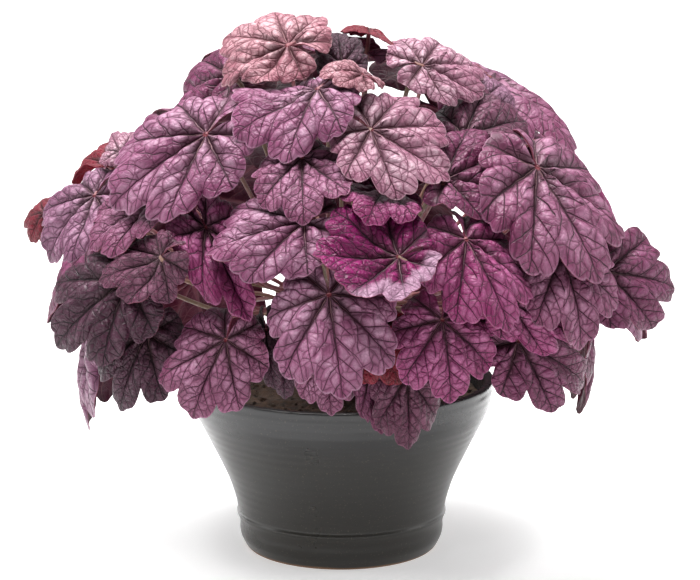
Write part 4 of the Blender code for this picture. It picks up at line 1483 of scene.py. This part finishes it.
@dataclass
class Soil:
    """The potting soil: a lumpy top and a plain body in the pot, with crumbs on it.

    clods are the height and width of each size of clod, and the shift of its lattice. skirt is the radius
    and height down the body in the pot.
    """

    top: float = 0.097
    edge: float = 0.0875
    rows: int = 90
    sides: int = 240
    clods: tuple[tuple[float, float, int], ...] = (
        (0.0012, 0.011, 20), (0.0007, 0.0046, 30), (0.0004, 0.0021, 50),
    )
    skirt: tuple[tuple[float, float], ...] = (
        (0.0845, 0.084), (0.0735, 0.062), (0.0655, 0.045), (0.0605, 0.030), (0.055, 0.0115),
    )
    crumbs: int = 320
    seed: int = 7

    def height(self, x: np.ndarray, y: np.ndarray) -> np.ndarray:
        """The top's height.

        Formula: clods of three sizes, heaped a little towards the crown.

        Args:
            x: Places to the right.
            y: Places to the back.

        Returns:
            The heights.
        """
        radius = np.hypot(x, y)
        clods = 0.0
        for seed, (height, width, shift) in enumerate(self.clods, 1):
            clods = clods + height * lumps(x / width + shift, y / width + shift, seed)
        heap = 0.0016 * (1.0 - smoothstep(0.03, 0.085, radius))
        return self.top - 0.0024 + clods + heap

    def build(self) -> None:
        """Makes and dresses the soil and its crumbs."""
        radius = np.linspace(self.edge / self.rows, self.edge, self.rows)[:, None]
        around = np.linspace(0.0, 2.0 * math.pi, self.sides, endpoint=False)[None]
        height = self.height(radius * np.cos(around), radius * np.sin(around))
        below = np.array(self.skirt)
        grid = np.concatenate([turned(radius, around, height), turned(below[:, :1], around, below[:, 1:])])
        middle = self.height(np.zeros(1), np.zeros(1))[0]
        sheet = MeshSheet()
        add_round(sheet, grid, [np.array([0.0, 0.0, z]) for z in (middle, below[-1, 1])])
        material = SoilFinish().make()
        give(sheet.build("potting_soil"), "soil", material, stands_for="soil")
        give(self.scatter(), "soil", material)

    def scatter(self) -> bpy.types.Object:
        """Crumbs of bark and grit, half sunk in the top."""
        rng = np.random.default_rng(self.seed)
        golden = (1.0 + math.sqrt(5.0)) / 2.0
        corners = np.array([(0, a, b) for a in (-1, 1) for b in (-golden, golden)])
        corners = unit(np.vstack([corners, corners[:, [2, 0, 1]], corners[:, [1, 2, 0]]]))
        gaps = np.linalg.norm(corners[:, None] - corners, axis=2)
        near = (gaps > 0.1) & (gaps < 1.2)
        index = np.arange(12)
        faces = np.array([(a, b, c) for a in index for b in index[a:] for c in index[b:]
                          if near[a, b] and near[b, c] and near[a, c]])
        a, b, c = (corners[faces[:, corner]] for corner in range(3))
        inward = np.sum(np.cross(b - a, c - a) * a, axis=1) < 0
        faces[inward] = faces[inward][:, ::-1]
        radius = 0.030 + 0.054 * np.sqrt(rng.uniform(0.0, 1.0, self.crumbs))
        around = rng.uniform(0.0, 2.0 * math.pi, self.crumbs)
        x, y = radius * np.cos(around), radius * np.sin(around)
        size = rng.uniform(0.0008, 0.0026, (self.crumbs, 1, 1)) * rng.uniform(0.5, 1.0, (self.crumbs, 1, 3))
        dents = rng.uniform(0.75, 1.15, (self.crumbs, 12, 1))
        middle = np.stack([x, y, self.height(x, y) + 0.0003], axis=1)[:, None]
        sheet = MeshSheet()
        sheet.add_points(middle + corners * size * dents)
        sheet.add_faces((faces + 12 * np.arange(self.crumbs)[:, None, None]).reshape(-1, 3))
        return sheet.build("soil_crumbs", sharp=25.0)


@dataclass
class Crown:
    """The woody crown that the stalks rise from."""

    radius: float = 0.0252
    sides: int = 120

    def build(self) -> None:
        """Makes and dresses the crown.

        Formula: a ball whose radius follows two sizes of random bumps, wrapped round without a seam.
        """
        rows = self.sides // 2
        fall = np.linspace(0.0, math.pi, rows + 1)[1:-1, None]
        way = turned(np.sin(fall), np.linspace(0.0, 2.0 * math.pi, self.sides, endpoint=False), np.cos(fall))
        bumps = lumps(way[..., 0] * 5 + 20, way[..., 1] * 5 + way[..., 2] * 7 + 20, 8)
        small = lumps(way[..., 0] * 13 + 40, way[..., 2] * 13 + way[..., 1] * 11 + 40, 9)
        radius = self.radius * (1.0 + 0.03 * bumps + 0.02 * small)
        sheet = MeshSheet()
        poles = [HEART + np.array([0.0, 0.0, end]) for end in (self.radius, -self.radius)]
        add_round(sheet, HEART + way * radius[..., None], poles)
        give(sheet.build("woody_crown"), "crown", CrownFinish().make(), stands_for="crown")


@dataclass(frozen=True)
class Lamp:
    """A square soft lamp: its name, place, side in metres, power in watts, and the place that it faces."""

    name: str
    place: tuple[float, float, float]
    size: float
    power: float
    target: tuple[float, float, float] = (0.0, 0.0, 0.2)

    def add(self) -> None:
        """Makes the lamp."""
        data = bpy.data.lights.new(self.name, "AREA")
        data.energy, data.size = self.power, self.size
        lamp = bpy.data.objects.new(self.name, data)
        lamp.location = self.place
        aim = Vector(self.target) - Vector(self.place)
        lamp.rotation_euler = aim.to_track_quat("-Z", "Y").to_euler()
        bpy.context.scene.collection.objects.link(lamp)


@dataclass
class Studio:
    """A white room with soft light from above and from every side."""

    view: View
    floor_size: float = 9.0
    floor_grey: float = 0.82
    floor_glow: float = 0.42
    surround: float = 0.29
    lamps: tuple[Lamp, ...] = (
        Lamp("top lamp", (-0.20, -0.10, 1.75), 1.1, 72.0),
        Lamp("left lamp", (-1.55, 0.05, 0.70), 0.9, 9.0),
        Lamp("right lamp", (1.60, 0.05, 0.70), 0.9, 9.0),
        Lamp("floor lamp", (0.0, 2.20, 2.20), 3.4, 75.0, (0.0, 2.20, 0.0)),
    )

    def build(self) -> None:
        """Makes the floor, the surrounding light, the lamps and the camera."""
        self.view.add_camera()
        world = bpy.data.worlds.new("white room")
        world.use_nodes = True
        background = world.node_tree.nodes["Background"]
        background.inputs["Color"].default_value = (1.0, 1.0, 1.0, 1.0)
        background.inputs["Strength"].default_value = self.surround
        bpy.context.scene.world = world
        bpy.context.scene.view_settings.view_transform = "Standard"
        half = self.floor_size / 2
        corners = [(-half, -half, 0.0), (half, -half, 0.0), (half, half, 0.0), (-half, half, 0.0)]
        sheet = MeshSheet()
        sheet.add_points(np.array(corners))
        sheet.add_faces(np.array([[0, 1, 2, 3]]))
        floor = sheet.build("studio_floor")
        floor.data.materials.append(Bench("white floor").finish(
            Base_Color=(self.floor_grey,) * 3, Roughness=0.7, Emission_Color=(1.0, 1.0, 1.0),
            Emission_Strength=self.floor_glow,
        ))
        for lamp in self.lamps:
            lamp.add()


def main() -> None:
    """Builds the studio and the plant."""
    logging.basicConfig(level=logging.INFO, format="%(message)s")
    view = View()
    Studio(view).build()
    pot = Pot()
    pot.build()
    Soil().build()
    Crown().build()
    Foliage(view).build(pot)
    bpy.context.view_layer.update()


if __name__ == "__main__":
    main()
